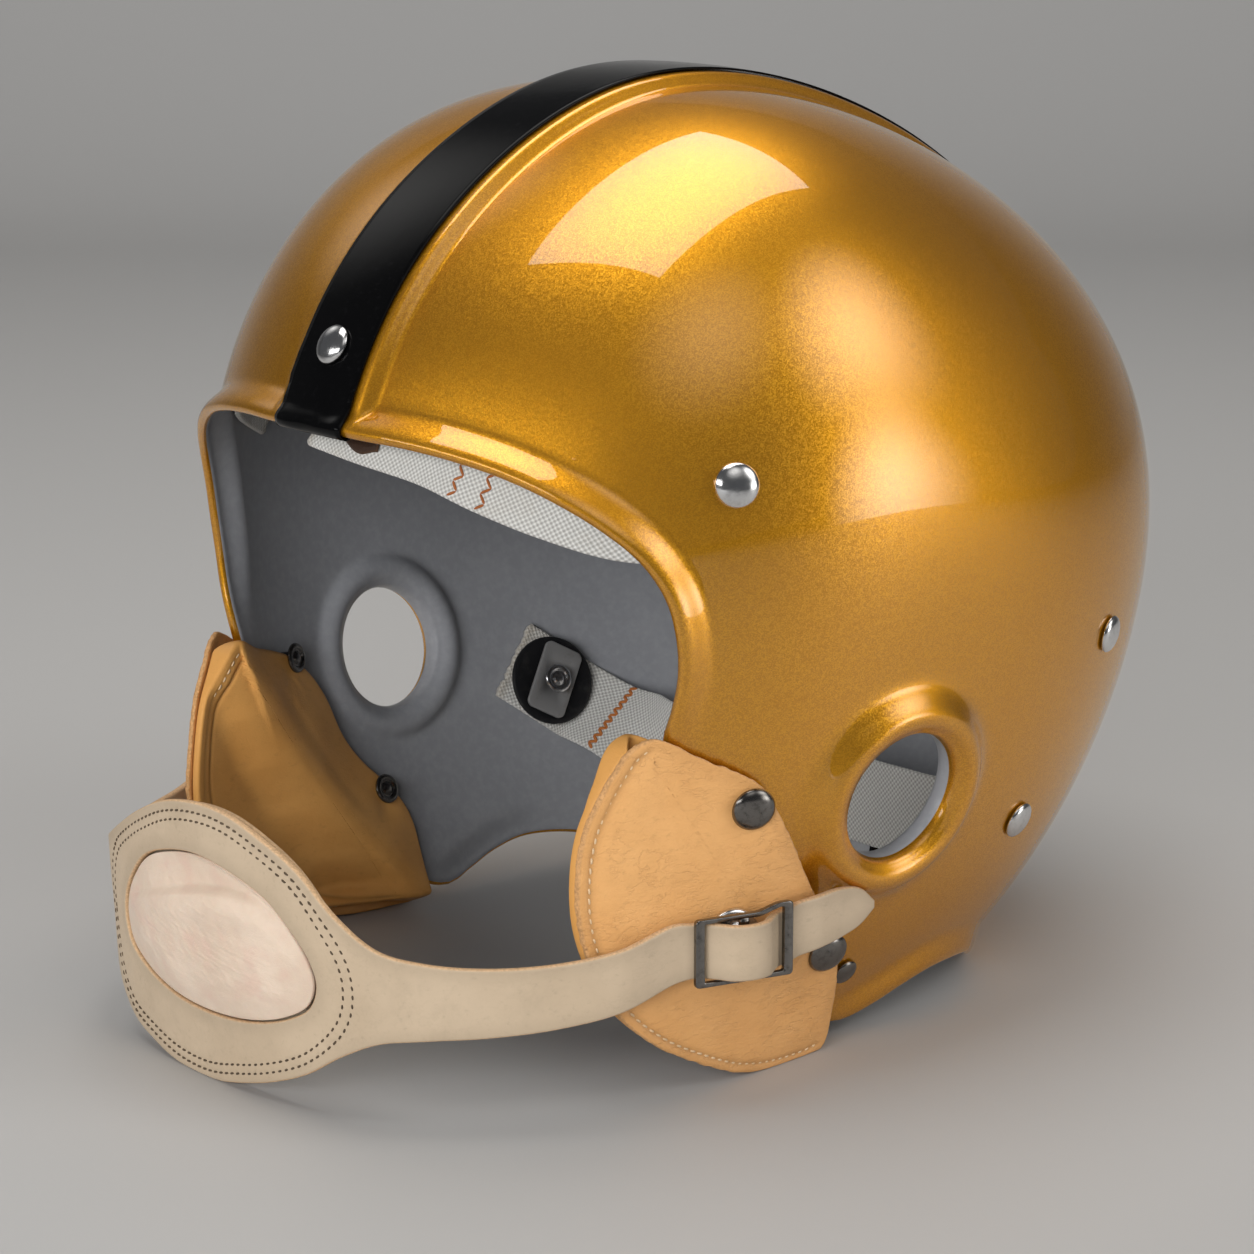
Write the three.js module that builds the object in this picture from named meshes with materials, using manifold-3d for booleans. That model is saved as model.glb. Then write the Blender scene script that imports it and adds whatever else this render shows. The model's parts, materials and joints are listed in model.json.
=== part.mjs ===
// A moulded football helmet with leather jaw pads and a leather chin strap, in millimetres.
// +Z is up, the face opening looks along -Y, and the wearer's left is +X. The floor is z = 0.
// The tables measure y from the line through the two ear holes; the finished pieces are moved
// so that the origin is on the floor under the middle of the whole length.

import * as THREE from "three";
import { mergeVertices } from "three/addons/utils/BufferGeometryUtils.js";
import Module from "manifold-3d";

const wasm = await Module();
wasm.setup();

const MIDDLE_Y = 11.25;

// Head form: half axes measured from the centre, with the joins between them blended
const CENTRE = new THREE.Vector3(0, 3, 117);
const HALF_WIDTH = 117;
const FRONT_REACH = 108;
const REAR_REACH = 161;
const UPWARD_REACH = 124;
const DOWNWARD_REACH = 158;
const AXIS_BLEND = 0.35;

// Broad swellings and hollows of the shell: where they point, how wide and how high they are
const SWELLINGS = [
  { place: "temple", yaw: 62, pitch: 38, spread: 30, height: 2.5 },
  { place: "rear of crown", yaw: 180, pitch: 60, spread: 34, height: -2.5 },
  { place: "cheek", yaw: 90, pitch: -25, spread: 28, height: -6.5 },
  { place: "nape", yaw: 180, pitch: -30, spread: 34, height: -2.5 },
  { place: "behind the ear", yaw: 125, pitch: 12, spread: 34, height: 4.5 },
  { place: "side of crown", yaw: 90, pitch: 62, spread: 28, height: 6.5 },
  { place: "side", yaw: 80, pitch: 5, spread: 30, height: -3.5 },
  { place: "top of crown", yaw: 0, pitch: 75, spread: 30, height: -8 },
];

// Shell wall and its edge
const WALL = 3.2;
const FLARE_REACH = 10;
const RIM_STATIONS = 64;
const RAY_STEPS = 11;
const POLE_TILT = 32;
const CLEARANCE = 0.3;
const GROUND = { size: 400, depth: 40 };

// Half of the shell's edge, from the middle of the brow to the middle of the nape
const RIM = [
  { place: "brow", x: 0, y: -103, z: 161.5, flare: 4.5 },
  { place: "brow", x: 17, y: -102, z: 161.2, flare: 4.5 },
  { place: "brow", x: 32, y: -99.4, z: 160.8, flare: 4.5 },
  { place: "brow", x: 46, y: -95.4, z: 159.2, flare: 4.5 },
  { place: "brow", x: 59, y: -90.5, z: 156.3, flare: 4.5 },
  { place: "temple", x: 70.4, y: -84.8, z: 151.7, flare: 4.5 },
  { place: "temple", x: 81, y: -78, z: 145, flare: 4.5 },
  { place: "temple", x: 88.4, y: -72, z: 137.5, flare: 4.5 },
  { place: "cheek", x: 92, y: -67.3, z: 128.5, flare: 4.3 },
  { place: "cheek", x: 93, y: -64.8, z: 118.7, flare: 4 },
  { place: "cheek", x: 92.5, y: -63.8, z: 108.7, flare: 3.4 },
  { place: "cheek", x: 91, y: -64.4, z: 99.9, flare: 2.6 },
  { place: "under the pad", x: 88.5, y: -65, z: 91, flare: 1.2 },
  { place: "under the pad", x: 87.5, y: -62.5, z: 80, flare: 0.4 },
  { place: "under the pad", x: 88, y: -56.5, z: 67, flare: 0 },
  { place: "under the pad", x: 89, y: -47, z: 52, flare: 0 },
  { place: "under the pad", x: 88, y: -35, z: 36, flare: 0 },
  { place: "under the pad", x: 84, y: -21, z: 20, flare: 0.4 },
  { place: "under the pad", x: 80, y: -8, z: 8, flare: 1.5 },
  { place: "lower edge", x: 79, y: 4, z: 3, flare: 2.5 },
  { place: "lower edge", x: 81, y: 14.6, z: 5, flare: 3 },
  { place: "lower edge", x: 82, y: 24.4, z: 8.3, flare: 3 },
  { place: "lower edge", x: 81.5, y: 36.4, z: 10.4, flare: 3 },
  { place: "lower edge", x: 77, y: 53.2, z: 8, flare: 3 },
  { place: "nape corner", x: 70, y: 67, z: 0, flare: 3 },
  { place: "nape corner", x: 60, y: 79, z: -6.3, flare: 3 },
  { place: "nape", x: 46, y: 90, z: -4.6, flare: 3 },
  { place: "nape", x: 24, y: 103, z: 1, flare: 3 },
  { place: "nape", x: 0, y: 108, z: 3, flare: 3 },
];

// Raised centre rib and the tape laid along it
const RIB_HALF_TOP = 14.5;
const RIB_HALF_FOOT = 18;
const RIB_HEIGHT = 3;
const RIB_STATIONS = 30;
const CREST_STEPS = [3.6, 6.5, 9.5, 14];
const RIB_ROOT = 0.65;
const TAPE_HALF_WIDTH = 12.7;
const TAPE_THICKNESS = 0.5;
const TAPE_TURN_IN = 9;
const TAPE_LIFT = 0.45;
const TAPE_FOLD = { before: 1.4, past: -1.3 };

// Ear holes, each with a raised rolled ring round it
const EAR = { y: 0, z: 64, axis: [1, -0.06, -0.2], holeRadius: 17.1 };
const EAR_SEGMENTS = 28;
const EAR_RING = [
  { radius: 15, height: -2 },
  { radius: 15, height: 1.4 },
  { radius: 17.6, height: 2.6 },
  { radius: 19.6, height: 4.3 },
  { radius: 22.4, height: 5 },
  { radius: 25, height: 3.9 },
  { radius: 27, height: 1.8 },
  { radius: 29.5, height: -1.2 },
  { radius: 28.2, height: -2.4 },
  { radius: 26.2, height: -4.2 },
  { radius: 24.2, height: -5.5 },
  { radius: 21.8, height: -6.1 },
  { radius: 19.4, height: -5.1 },
  { radius: 17.4, height: -3.2 },
];

// Rivets: where they stand on the shell's outside, and how far in their inner heads lie.
// The jaw studs are set in blind holes, so that nothing of them shows inside.
const SHANK_RADIUS = 2;
const SHANK_CLEARANCE = 0.3;
const BORE = SHANK_RADIUS + SHANK_CLEARANCE;
const DRILL_REACH = 20;
const SHANK_SEGMENTS = 10;
const RIVET_DOME = [
  { radius: 0, rise: 1 },
  { radius: 0.5, rise: 0.84 },
  { radius: 0.87, rise: 0.42 },
  { radius: 1, rise: 0 },
];
const SHELL_RIVETS = [
  { name: "front_rivet", x: 0, y: -93.6, z: 181, head: 5.2, rise: 2.4, outside: 4.1, inside: 11.2, paired: false },
  { name: "side_rivet", x: 98.5, y: -50, z: 155, head: 5.6, rise: 2.8, outside: 0.3, inside: 7, paired: true },
  { name: "rear_upper_rivet", x: 103, y: 81, z: 98, head: 5, rise: 2.2, outside: 0.3, inside: 4.4, paired: true },
  { name: "rear_lower_rivet", x: 97, y: 54.5, z: 50.5, head: 5, rise: 2.2, outside: 0.3, inside: 11.4, paired: true },
  { name: "jaw_stud", x: 89, y: -1.5, z: 18.5, head: 3.6, rise: 1.6, outside: 0.3, inside: 2.2, paired: true, blind: true },
];
const JAW_RIVETS = [
  { name: "jaw_rivet_upper", y: -44.9, z: 74, head: 5.6, rise: 2.8 },
  { name: "jaw_rivet_lower", y: -15.2, z: 30, head: 5.6, rise: 2.8 },
];
const INNER_HEAD_RADIUS = 4.2;
const INNER_HEAD_DEPTH = 1.2;
const JAW_RIVET_LIFT = 0.8;
const JAW_RIVET_INSIDE = 11.5;

// Jaw pads: an outer leather flap and a padded leather lining, seen from the side
const FLAP_THICKNESS = 2.2;
const LINING_GAP = 0.8;
const LINING_EDGE = 2;
const LINING_LOFT = 4.5;
const LINING_SHRINK = 0.985;
const LINING_STEP = { start: -14, end: -3 };
const LOFT_FLAT_SHARE = 0.5;
const PAD_CENTRE = { y: -44, z: 46 };
const PAD_RINGS = [0.25, 0.5, 0.75, 0.92];
const PAD_OUTLINE = [
  { y: -68, z: 93.5 },
  { y: -57, z: 87.5 },
  { y: -49, z: 83.5 },
  { y: -42.5, z: 79 },
  { y: -38, z: 72 },
  { y: -32.5, z: 62.5 },
  { y: -27, z: 53 },
  { y: -19, z: 42 },
  { y: -13, z: 34 },
  { y: -9, z: 24 },
  { y: -7, z: 10 },
  { y: -7.5, z: 1 },
  { y: -12, z: -0.5 },
  { y: -25, z: -0.7 },
  { y: -39, z: 1.6 },
  { y: -53, z: 7.5 },
  { y: -65.5, z: 14.5 },
  { y: -75.5, z: 23.5 },
  { y: -81.8, z: 35 },
  { y: -84.8, z: 46 },
  { y: -85, z: 58 },
  { y: -82.8, z: 71 },
  { y: -77.5, z: 83.5 },
  { y: -72.5, z: 91.5 },
];
// Sideways place of the flap's inner face: a gentle quadratic about one point of the cheek
const FLAP_GAP = 0.6;
const FLAP_BULGE = { y: -50, z: 45, spread: 27, height: 3.5 };
const PAD_FORM = { y: -30, z: 50, scale: 50, constant: 95, y1: 12.3, z1: 12.1, yy: -2.35, zz: 2.9, yz: 14.3 };

// Webbing inside the shell, with its centre line's points and its depth under the outside
const WEB_THICKNESS = 1.8;
const BROW_WEB_WIDTH = 30;
const BROW_WEB_LEFT = [
  { x: -11, y: -95, z: 171, depth: 6.5 },
  { x: 10, y: -96, z: 169.5, depth: 6.5 },
  { x: 33, y: -92, z: 166, depth: 6.3 },
  { x: 50, y: -87, z: 160.5, depth: 5.4 },
  { x: 66, y: -79, z: 155, depth: 5 },
  { x: 80, y: -68, z: 150.5, depth: 4.6 },
  { x: 91, y: -54, z: 150, depth: 4.4 },
  { x: 98, y: -38, z: 151, depth: 4.3 },
];
const BROW_WEB_RIGHT = [
  { x: 11, y: -94, z: 175, depth: 8.8 },
  { x: -10, y: -95, z: 175.5, depth: 8.8 },
  { x: -33, y: -91, z: 176, depth: 7.6 },
  { x: -66, y: -77, z: 172, depth: 5.4 },
  { x: -88, y: -58, z: 161, depth: 4.6 },
  { x: -98, y: -40, z: 152, depth: 4.3 },
];
const BROW_STATIONS = 18;
const NAPE_WEB_WIDTH = 25;
const NAPE_STATIONS = 40;
const ANCHOR_FLAT = 13;
const WEB_LEAVES_WALL = { from: 45, to: 82 };
const WEB_GAP = 1.1;
const NAPE_RUN = [-13, 8, -4.5];
const NAPE_WEB = [
  { x: 68, y: 68.5, z: 39.5 },
  { x: 40, y: 69.5, z: 38.5 },
  { x: 0, y: 70, z: 38.5 },
];
const BROW_TAB = { y: -95, halfWidth: 16, top: 186, bottom: 155, thickness: 1.5, depth: 4.6 };

// Nape web anchor: a rubber washer and a steel plate under the rivet's inner head
const WASHER_GAP = 0.7;
const WASHER_RADIUS = 13;
const WASHER_THICKNESS = 1.6;
const PLATE_LENGTH = 21;
const PLATE_WIDTH = 12.5;
const PLATE_THICKNESS = 1.2;
const PLATE_TURN = -19;
const PLATE_CORNER = 2.5;

// Buckle: a frame with a middle bar, and the snap that it is fastened over
const BUCKLE = { x: 101.9, y: -50.2, z: 41.2, turn: 15, length: 27, height: 19 };
const BUCKLE_BAR = 2.6;
const BUCKLE_THICKNESS = 1.8;
const BUCKLE_CORNER = 1.2;
const TOP_STEP = { outer: [0.7, 0.3], inner: [0.75, 0.35] };
const TOP_BAR_DIP = 1.6;
const SNAP_RADIUS = 7.5;
const SNAP_NECK_RADIUS = 3.5;
const SNAP_FOOT_GAP = 1;
const SNAP_SEGMENTS = 18;
const NEAR_SNAP_FOOT = [
  { radius: 0.8, height: 1.5 },
  { radius: 1, height: 0.7 },
  { radius: 1, height: 0 },
];
const FAR_SNAP_DOME = [
  { radius: 0, height: 2.6 },
  { radius: 0.5, height: 2.2 },
  { radius: 0.85, height: 1.1 },
  { radius: 1, height: 0 },
];
const FAR_SNAP_ARC = 12;

// Chin strap, seen from above along its outer face, from the far end round the cup to the tip
const STRAP_THICKNESS = 2.2;
const STRAP = [
  { place: "far end", x: -107, y: -41, top: 47, bottom: 36 },
  { place: "far snap", x: -105.5, y: -45, top: 49.5, bottom: 33.5 },
  { place: "far snap", x: -103, y: -54, top: 50, bottom: 33.5 },
  { place: "far strap", x: -98.5, y: -67, top: 48, bottom: 31.8 },
  { place: "far strap", x: -92, y: -80.5, top: 46, bottom: 29.5 },
  { place: "far strap", x: -84, y: -94.5, top: 46, bottom: 29 },
  { place: "far strap", x: -74, y: -108.5, top: 47, bottom: 28.5 },
  { place: "far notch", x: -62, y: -122, top: 48, bottom: 25 },
  { place: "cup", x: -52, y: -129.5, top: 51.5, bottom: 14 },
  { place: "cup", x: -40, y: -134.3, top: 57.5, bottom: 6 },
  { place: "cup", x: -28, y: -136.8, top: 64, bottom: 2.5 },
  { place: "cup", x: -14, y: -138.5, top: 70, bottom: -0.2 },
  { place: "cup", x: 0, y: -139, top: 72.6, bottom: -0.5 },
  { place: "cup", x: 12, y: -138.7, top: 72.2, bottom: 1.8 },
  { place: "cup", x: 24, y: -137.6, top: 68.5, bottom: 5 },
  { place: "cup", x: 35.5, y: -135.5, top: 62.3, bottom: 9.5 },
  { place: "cup", x: 46, y: -132.4, top: 52, bottom: 16 },
  { place: "near notch", x: 55, y: -127.8, top: 44.8, bottom: 20.5 },
  { place: "near strap", x: 64, y: -120.2, top: 41.8, bottom: 22 },
  { place: "near strap", x: 74, y: -108.5, top: 40.4, bottom: 22.8 },
  { place: "near strap", x: 84, y: -94.5, top: 41, bottom: 24.6 },
  { place: "near strap", x: 92, y: -80.5, top: 43.6, bottom: 27.8 },
  ...inBuckle([
    { place: "before the buckle", along: -17, out: -2.8, top: 47.5, bottom: 32.4 },
    { place: "behind the front bar", along: -13.6, out: -1.7, top: 47.5, bottom: 33.4 },
    { place: "behind the front bar", along: -11.2, out: -1.4, top: 47.5, bottom: 33.4 },
    { place: "rising to the loop", along: -8.2, out: 1.2, top: 47.5, bottom: 33.4 },
    { place: "over the middle bar", along: -5, out: 4.4, top: 47.5, bottom: 33.4 },
    { place: "over the middle bar", along: 0, out: 5.8, top: 47.5, bottom: 33.4 },
    { place: "over the middle bar", along: 5, out: 4.4, top: 47.5, bottom: 33.4 },
    { place: "down from the loop", along: 8.2, out: 1.2, top: 47.5, bottom: 33.4 },
    { place: "behind the rear bar", along: 11.2, out: -1.4, top: 47.5, bottom: 33.4 },
    { place: "behind the rear bar", along: 13.6, out: -1.7, top: 47.5, bottom: 33.6 },
    { place: "behind the rear bar", along: 17, out: -2.8, top: 48.4, bottom: 34.4 },
  ]),
  { place: "tail", x: 104.4, y: -27, top: 49, bottom: 35.2 },
  { place: "tail", x: 104, y: -18, top: 49.2, bottom: 36.4 },
  { place: "tail", x: 103.6, y: -11, top: 47.6, bottom: 38.2 },
  { place: "tip", x: 103.3, y: -6, top: 43.4, bottom: 41.4 },
];
const STEPS_PER_ROW = 3;
const CUP_LEAN = 0.05;
const CUP_MIDDLE_HEIGHT = 36;
const CUP_HALF_SPAN = 52;
const BACKING_THICKNESS = 1.8;
const BACKING_INSET = 0.8;
const BACKING_SPACE = 0.5;
const BACKING_SAG = 2.5;
const BACKING_STEPS = 18;
const BACKING_ROUND = { beyond: 2, power: 6, least: 0.08 };

// Half of the window in the cup's front, along the cup and up from the floor
const WINDOW = [
  { along: 0, up: 59 },
  { along: 13, up: 57.3 },
  { along: 25, up: 53 },
  { along: 33.5, up: 46 },
  { along: 38.5, up: 39.5 },
  { along: 40.3, up: 33.5 },
  { along: 38, up: 27.5 },
  { along: 30, up: 22.8 },
  { along: 17, up: 19.3 },
  { along: 0, up: 18 },
];
const WINDOW_MIDDLE = 37;
const WINDOW_CUT = { before: 6, behind: 8 };
const PAD_BULGE = 3.5;
const PAD_SHARES = [0.3, 0.6, 0.85];
const PAD_FIT = 0.975;
const PAD_DEPTHS = { middle: 0.4, edge: 0.9, back: 0.2 };

const LEATHER = { color: 0xd39a55, roughness: 0.65, metalness: 0 };
const STRAP_LEATHER = { color: 0xc4b494, roughness: 0.6, metalness: 0 };
const NICKEL = { color: 0xb8b8ba, roughness: 0.22, metalness: 1 };
const DARK_NICKEL = { color: 0x55555a, roughness: 0.28, metalness: 1 };
const COTTON = { color: 0xcfc9bb, roughness: 0.95, metalness: 0 };

const FINISHES = {
  paint: { color: 0xc98a10, roughness: 0.25, metalness: 0.6 },
  tape: { color: 0x08080a, roughness: 0.15, metalness: 0 },
  rubber: { color: 0x111113, roughness: 0.5, metalness: 0 },
  steel: { color: 0x77777a, roughness: 0.45, metalness: 0.8 },
  softPad: { color: 0xdcc4ac, roughness: 0.7, metalness: 0 },
  brownLeather: { color: 0x5a3014, roughness: 0.7, metalness: 0 },
};

const clamp = THREE.MathUtils.clamp;
const radians = THREE.MathUtils.degToRad;
const helmet = new THREE.Group();

function direction(yaw, pitch) {
  const a = radians(yaw);
  const b = radians(pitch);
  return new THREE.Vector3(Math.sin(a) * Math.cos(b), -Math.cos(a) * Math.cos(b), Math.sin(b));
}

// Every swelling off the centre plane is on both sides
const SWELLING_AXES = SWELLINGS.flatMap((swelling) => {
  const { yaw, pitch, spread, height } = swelling;
  const sides = yaw % 180 === 0 ? [1] : [1, -1];
  const width = 1 - Math.cos(radians(spread));
  return sides.map((side) => ({ axis: direction(side * yaw, pitch), width, height }));
});

// Distance from the centre to the outside of the shell, along a unit direction
function shellRadius(unit) {
  const rearward = 0.5 * (1 + unit.y / Math.hypot(unit.y, AXIS_BLEND));
  const upward = 0.5 * (1 + unit.z / Math.hypot(unit.z, AXIS_BLEND));
  const lengthwise = (1 - rearward) / FRONT_REACH ** 2 + rearward / REAR_REACH ** 2;
  const vertical = (1 - upward) / DOWNWARD_REACH ** 2 + upward / UPWARD_REACH ** 2;
  const form = unit.x ** 2 / HALF_WIDTH ** 2 + unit.y ** 2 * lengthwise + unit.z ** 2 * vertical;
  return SWELLING_AXES.reduce(
    (radius, { axis, width, height }) => radius + height * Math.exp((unit.dot(axis) - 1) / width),
    1 / Math.sqrt(form),
  );
}

function heightOverShell(point) {
  const arm = point.clone().sub(CENTRE);
  const distance = arm.length();
  return distance - shellRadius(arm.divideScalar(distance));
}

function shellNormal(point) {
  const step = 0.05;
  const slope = [0, 1, 2].map((k) => {
    const shift = new THREE.Vector3().setComponent(k, step);
    return heightOverShell(point.clone().add(shift)) - heightOverShell(point.clone().sub(shift));
  });
  return new THREE.Vector3(...slope).normalize();
}

// The point of the outside nearest the given one along its ray, moved out by offset
function onShell(point, offset = 0) {
  const unit = point.clone().sub(CENTRE).normalize();
  const base = unit.clone().multiplyScalar(shellRadius(unit)).add(CENTRE);
  return base.addScaledVector(shellNormal(base), offset);
}

// Sideways place at a given y and z where the height over the outside is as asked, by halving
function shellSide(y, z, height) {
  let inner = 0;
  let outer = 150;
  for (let turn = 0; turn < 24; turn++) {
    const middle = (inner + outer) / 2;
    if (heightOverShell(new THREE.Vector3(middle, y, z)) > height) outer = middle;
    else inner = middle;
  }
  return inner;
}

// A closed body through rings of points, closed at both ends by a fan to the ring's middle
function loft(rings, { ends = "fans" } = {}) {
  const count = rings[0].length;
  const points = rings.flat();
  const triangles = [];
  const quad = (a, b, c, d) => triangles.push(a, b, c, a, c, d);
  const last = ends === "joined" ? rings.length : rings.length - 1;
  for (let i = 0; i < last; i++) {
    const next = (i + 1) % rings.length;
    for (let j = 0; j < count; j++) {
      const k = (j + 1) % count;
      quad(i * count + j, i * count + k, next * count + k, next * count + j);
    }
  }
  if (ends === "fans") {
    [0, rings.length - 1].forEach((i) => {
      const middle = rings[i].reduce((sum, p) => sum.add(p), new THREE.Vector3()).divideScalar(count);
      const hub = points.push(middle) - 1;
      for (let j = 0; j < count; j++) {
        const k = (j + 1) % count;
        if (i === 0) triangles.push(hub, i * count + k, i * count + j);
        else triangles.push(hub, i * count + j, i * count + k);
      }
    });
  }
  const geometry = new THREE.BufferGeometry().setFromPoints(points);
  geometry.setIndex(triangles);
  return outward(geometry);
}

function signedVolume(geometry) {
  const p = geometry.getAttribute("position");
  const index = geometry.getIndex();
  const corner = [new THREE.Vector3(), new THREE.Vector3(), new THREE.Vector3()];
  let sum = 0;
  for (let i = 0; i < index.count; i += 3) {
    corner.forEach((v, k) => v.fromBufferAttribute(p, index.getX(i + k)));
    sum += corner[0].dot(corner[1].clone().cross(corner[2]));
  }
  return sum / 6;
}

// Turns every face over where the body came out inside out
function outward(geometry) {
  if (signedVolume(geometry) > 0) return geometry;
  const index = geometry.getIndex();
  for (let i = 0; i < index.count; i += 3) {
    const a = index.getX(i);
    index.setX(i, index.getX(i + 1));
    index.setX(i + 1, a);
  }
  return geometry;
}

function welded(geometry) {
  const plain = geometry.clone();
  plain.deleteAttribute("normal");
  plain.deleteAttribute("uv");
  return mergeVertices(plain, 1e-4);
}

function toSolid(geometry) {
  const plain = welded(geometry);
  const vertProperties = new Float32Array(plain.getAttribute("position").array);
  const triVerts = new Uint32Array(plain.getIndex().array);
  return new wasm.Manifold(new wasm.Mesh({ numProp: 3, vertProperties, triVerts }));
}

function fromSolid(solid) {
  const { vertProperties, triVerts } = solid.getMesh();
  const geometry = new THREE.BufferGeometry();
  geometry.setAttribute("position", new THREE.BufferAttribute(new Float32Array(vertProperties), 3));
  geometry.setIndex(new THREE.BufferAttribute(new Uint32Array(triVerts), 1));
  return geometry;
}

function addPiece(name, geometry, finish) {
  const placed = geometry.clone().translate(0, -MIDDLE_Y, 0);
  const mesh = new THREE.Mesh(placed, new THREE.MeshStandardMaterial(finish));
  mesh.name = name;
  helmet.add(mesh);
  return mesh;
}

function mirrored(geometry) {
  return outward(welded(geometry).applyMatrix4(new THREE.Matrix4().makeScale(-1, 1, 1)));
}

function addPair(name, geometry, finish) {
  addPiece(`${name}_left`, geometry, finish);
  addPiece(`${name}_right`, mirrored(geometry), finish);
}

// Stands a body that was made along +Z at a point, with +Z turned to the given axis
function stand(geometry, point, axis) {
  const turn = new THREE.Quaternion().setFromUnitVectors(new THREE.Vector3(0, 0, 1), axis.clone().normalize());
  return welded(geometry).applyQuaternion(turn).translate(point.x, point.y, point.z);
}

function turned(profile, segments) {
  const points = profile.map(([radius, height]) => new THREE.Vector2(radius, height));
  return new THREE.LatheGeometry(points, segments).rotateX(Math.PI / 2);
}

// Rows given along the buckle and out of its plane, turned into places seen from above
function inBuckle(rows) {
  const turn = (BUCKLE.turn * Math.PI) / 180;
  return rows.map(({ along, out, ...rest }) => ({
    x: BUCKLE.x + along * Math.sin(turn) + out * Math.cos(turn),
    y: BUCKLE.y + along * Math.cos(turn) - out * Math.sin(turn),
    ...rest,
  }));
}

// The whole edge as one loop of evenly spaced stations, each with its inward direction
function rimStations() {
  const half = RIM.map(({ x, y, z, flare }) => ({ at: onShell(new THREE.Vector3(x, y, z)), flare }));
  const otherHalf = half.slice(1, -1).reverse().map(({ at, flare }) => ({
    at: new THREE.Vector3(-at.x, at.y, at.z),
    flare,
  }));
  const loop = [...half, ...otherHalf];
  const curve = new THREE.CatmullRomCurve3(loop.map(({ at }) => at), true, "centripetal");
  return Array.from({ length: RIM_STATIONS }, (_, j) => {
    const u = j / RIM_STATIONS;
    const at = onShell(curve.getPointAt(u));
    const tangent = curve.getTangentAt(u);
    const inward = shellNormal(at).cross(tangent).normalize();
    const t = curve.getUtoTmapping(u) * loop.length;
    const row = Math.floor(t) % loop.length;
    const blend = t - Math.floor(t);
    const flare = THREE.MathUtils.lerp(loop[row].flare, loop[(row + 1) % loop.length].flare, blend);
    return { at, inward, flare };
  });
}

const RIM_LOOP = rimStations();

// How far the wall leans out near its edge, at a distance from the edge
function flareRise(flare, distance) {
  const share = clamp((distance - 1) / (FLARE_REACH - 1), 0, 1);
  return flare * 0.5 * (1 + Math.cos(Math.PI * share));
}

// A point of the rim band: distance in from the edge, and offset from the flared outside
function rimPoint({ at, inward, flare }, distance, offset) {
  return onShell(at.clone().addScaledVector(inward, distance), offset + flareRise(flare, distance));
}

// One skin of the shell as rings, from its pole at the crown out to the edge
function skinRings(offset) {
  const pole = new THREE.Vector3(0, Math.sin(radians(POLE_TILT)), Math.cos(radians(POLE_TILT)));
  const rings = [];
  for (let i = 1; i <= RAY_STEPS; i++) {
    rings.push(
      RIM_LOOP.map((station) => {
        const foot = station.at.clone().addScaledVector(station.inward, FLARE_REACH + 1).sub(CENTRE).normalize();
        const angle = pole.angleTo(foot);
        const part = (angle * (i - 0.5)) / RAY_STEPS;
        const blend = foot.multiplyScalar(Math.sin(part)).addScaledVector(pole, Math.sin(angle - part));
        return onShell(blend.normalize().multiplyScalar(100).add(CENTRE), offset);
      }),
    );
  }
  [FLARE_REACH, 6.5, 3.6, 0.9].forEach((distance) => {
    rings.push(RIM_LOOP.map((station) => rimPoint(station, distance, offset)));
  });
  return rings;
}

function shellWall() {
  const edge = RIM_LOOP.map((station) => rimPoint(station, -0.7, -WALL / 2));
  return toSolid(loft([...skinRings(0), edge, ...skinRings(-WALL).reverse()]));
}

// A point of the centre plane's outline, by its angle up from the front
function onCrest(angle, x, offset) {
  const unit = new THREE.Vector3(0, -Math.cos(angle), Math.sin(angle));
  const crest = unit.multiplyScalar(shellRadius(unit)).add(CENTRE);
  return onShell(crest.setX(x), offset);
}

const elevation = (point) => Math.atan2(point.z - CENTRE.z, -(point.y - CENTRE.y));
const BROW = RIM_LOOP[0];
const NAPE = RIM_LOOP[RIM_STATIONS / 2];

// Places along the crest: close together by both edges, where the rib sinks into the flare
function crestPlaces() {
  const browReach = BROW.at.distanceTo(CENTRE);
  const napeReach = NAPE.at.distanceTo(CENTRE);
  const start = elevation(BROW.at);
  const end = elevation(NAPE.at) + 2 * Math.PI;
  const fromBrow = CREST_STEPS.map((distance) => ({ angle: start + distance / browReach, distance, flare: BROW.flare }));
  const fromNape = CREST_STEPS.map((distance) => ({ angle: end - distance / napeReach, distance, flare: NAPE.flare }));
  const first = fromBrow.at(-1).angle;
  const last = fromNape.at(-1).angle;
  const between = Array.from({ length: RIB_STATIONS }, (_, i) => ({
    angle: first + ((last - first) * (i + 1)) / (RIB_STATIONS + 1),
    distance: Infinity,
    flare: 0,
  }));
  return [...fromBrow, ...between, ...fromNape.reverse()];
}

// Height of the rib's flat top over the shell's plain form
function ribTop({ distance, flare }) {
  const risen = RIB_HEIGHT * THREE.MathUtils.smoothstep(distance, CREST_STEPS[0], CREST_STEPS.at(-1));
  return Math.max(risen, flareRise(flare, distance) - CLEARANCE);
}

// The raised centre rib, which starts and ends inside the flared edge
function rib() {
  const rings = crestPlaces().map((place) => {
    const foot = flareRise(place.flare, place.distance) - RIB_ROOT * WALL;
    const top = ribTop(place);
    return [
      onCrest(place.angle, -RIB_HALF_FOOT, foot),
      onCrest(place.angle, -RIB_HALF_TOP, top),
      onCrest(place.angle, 0, top),
      onCrest(place.angle, RIB_HALF_TOP, top),
      onCrest(place.angle, RIB_HALF_FOOT, foot),
      onCrest(place.angle, 0, foot),
    ];
  });
  return toSolid(loft(rings));
}

function earAxis(side) {
  const [x, y, z] = EAR.axis;
  return new THREE.Vector3(side * x, y, z).normalize();
}

function earPoint(side) {
  return onShell(new THREE.Vector3(side * HALF_WIDTH, EAR.y, EAR.z), 0);
}

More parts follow.
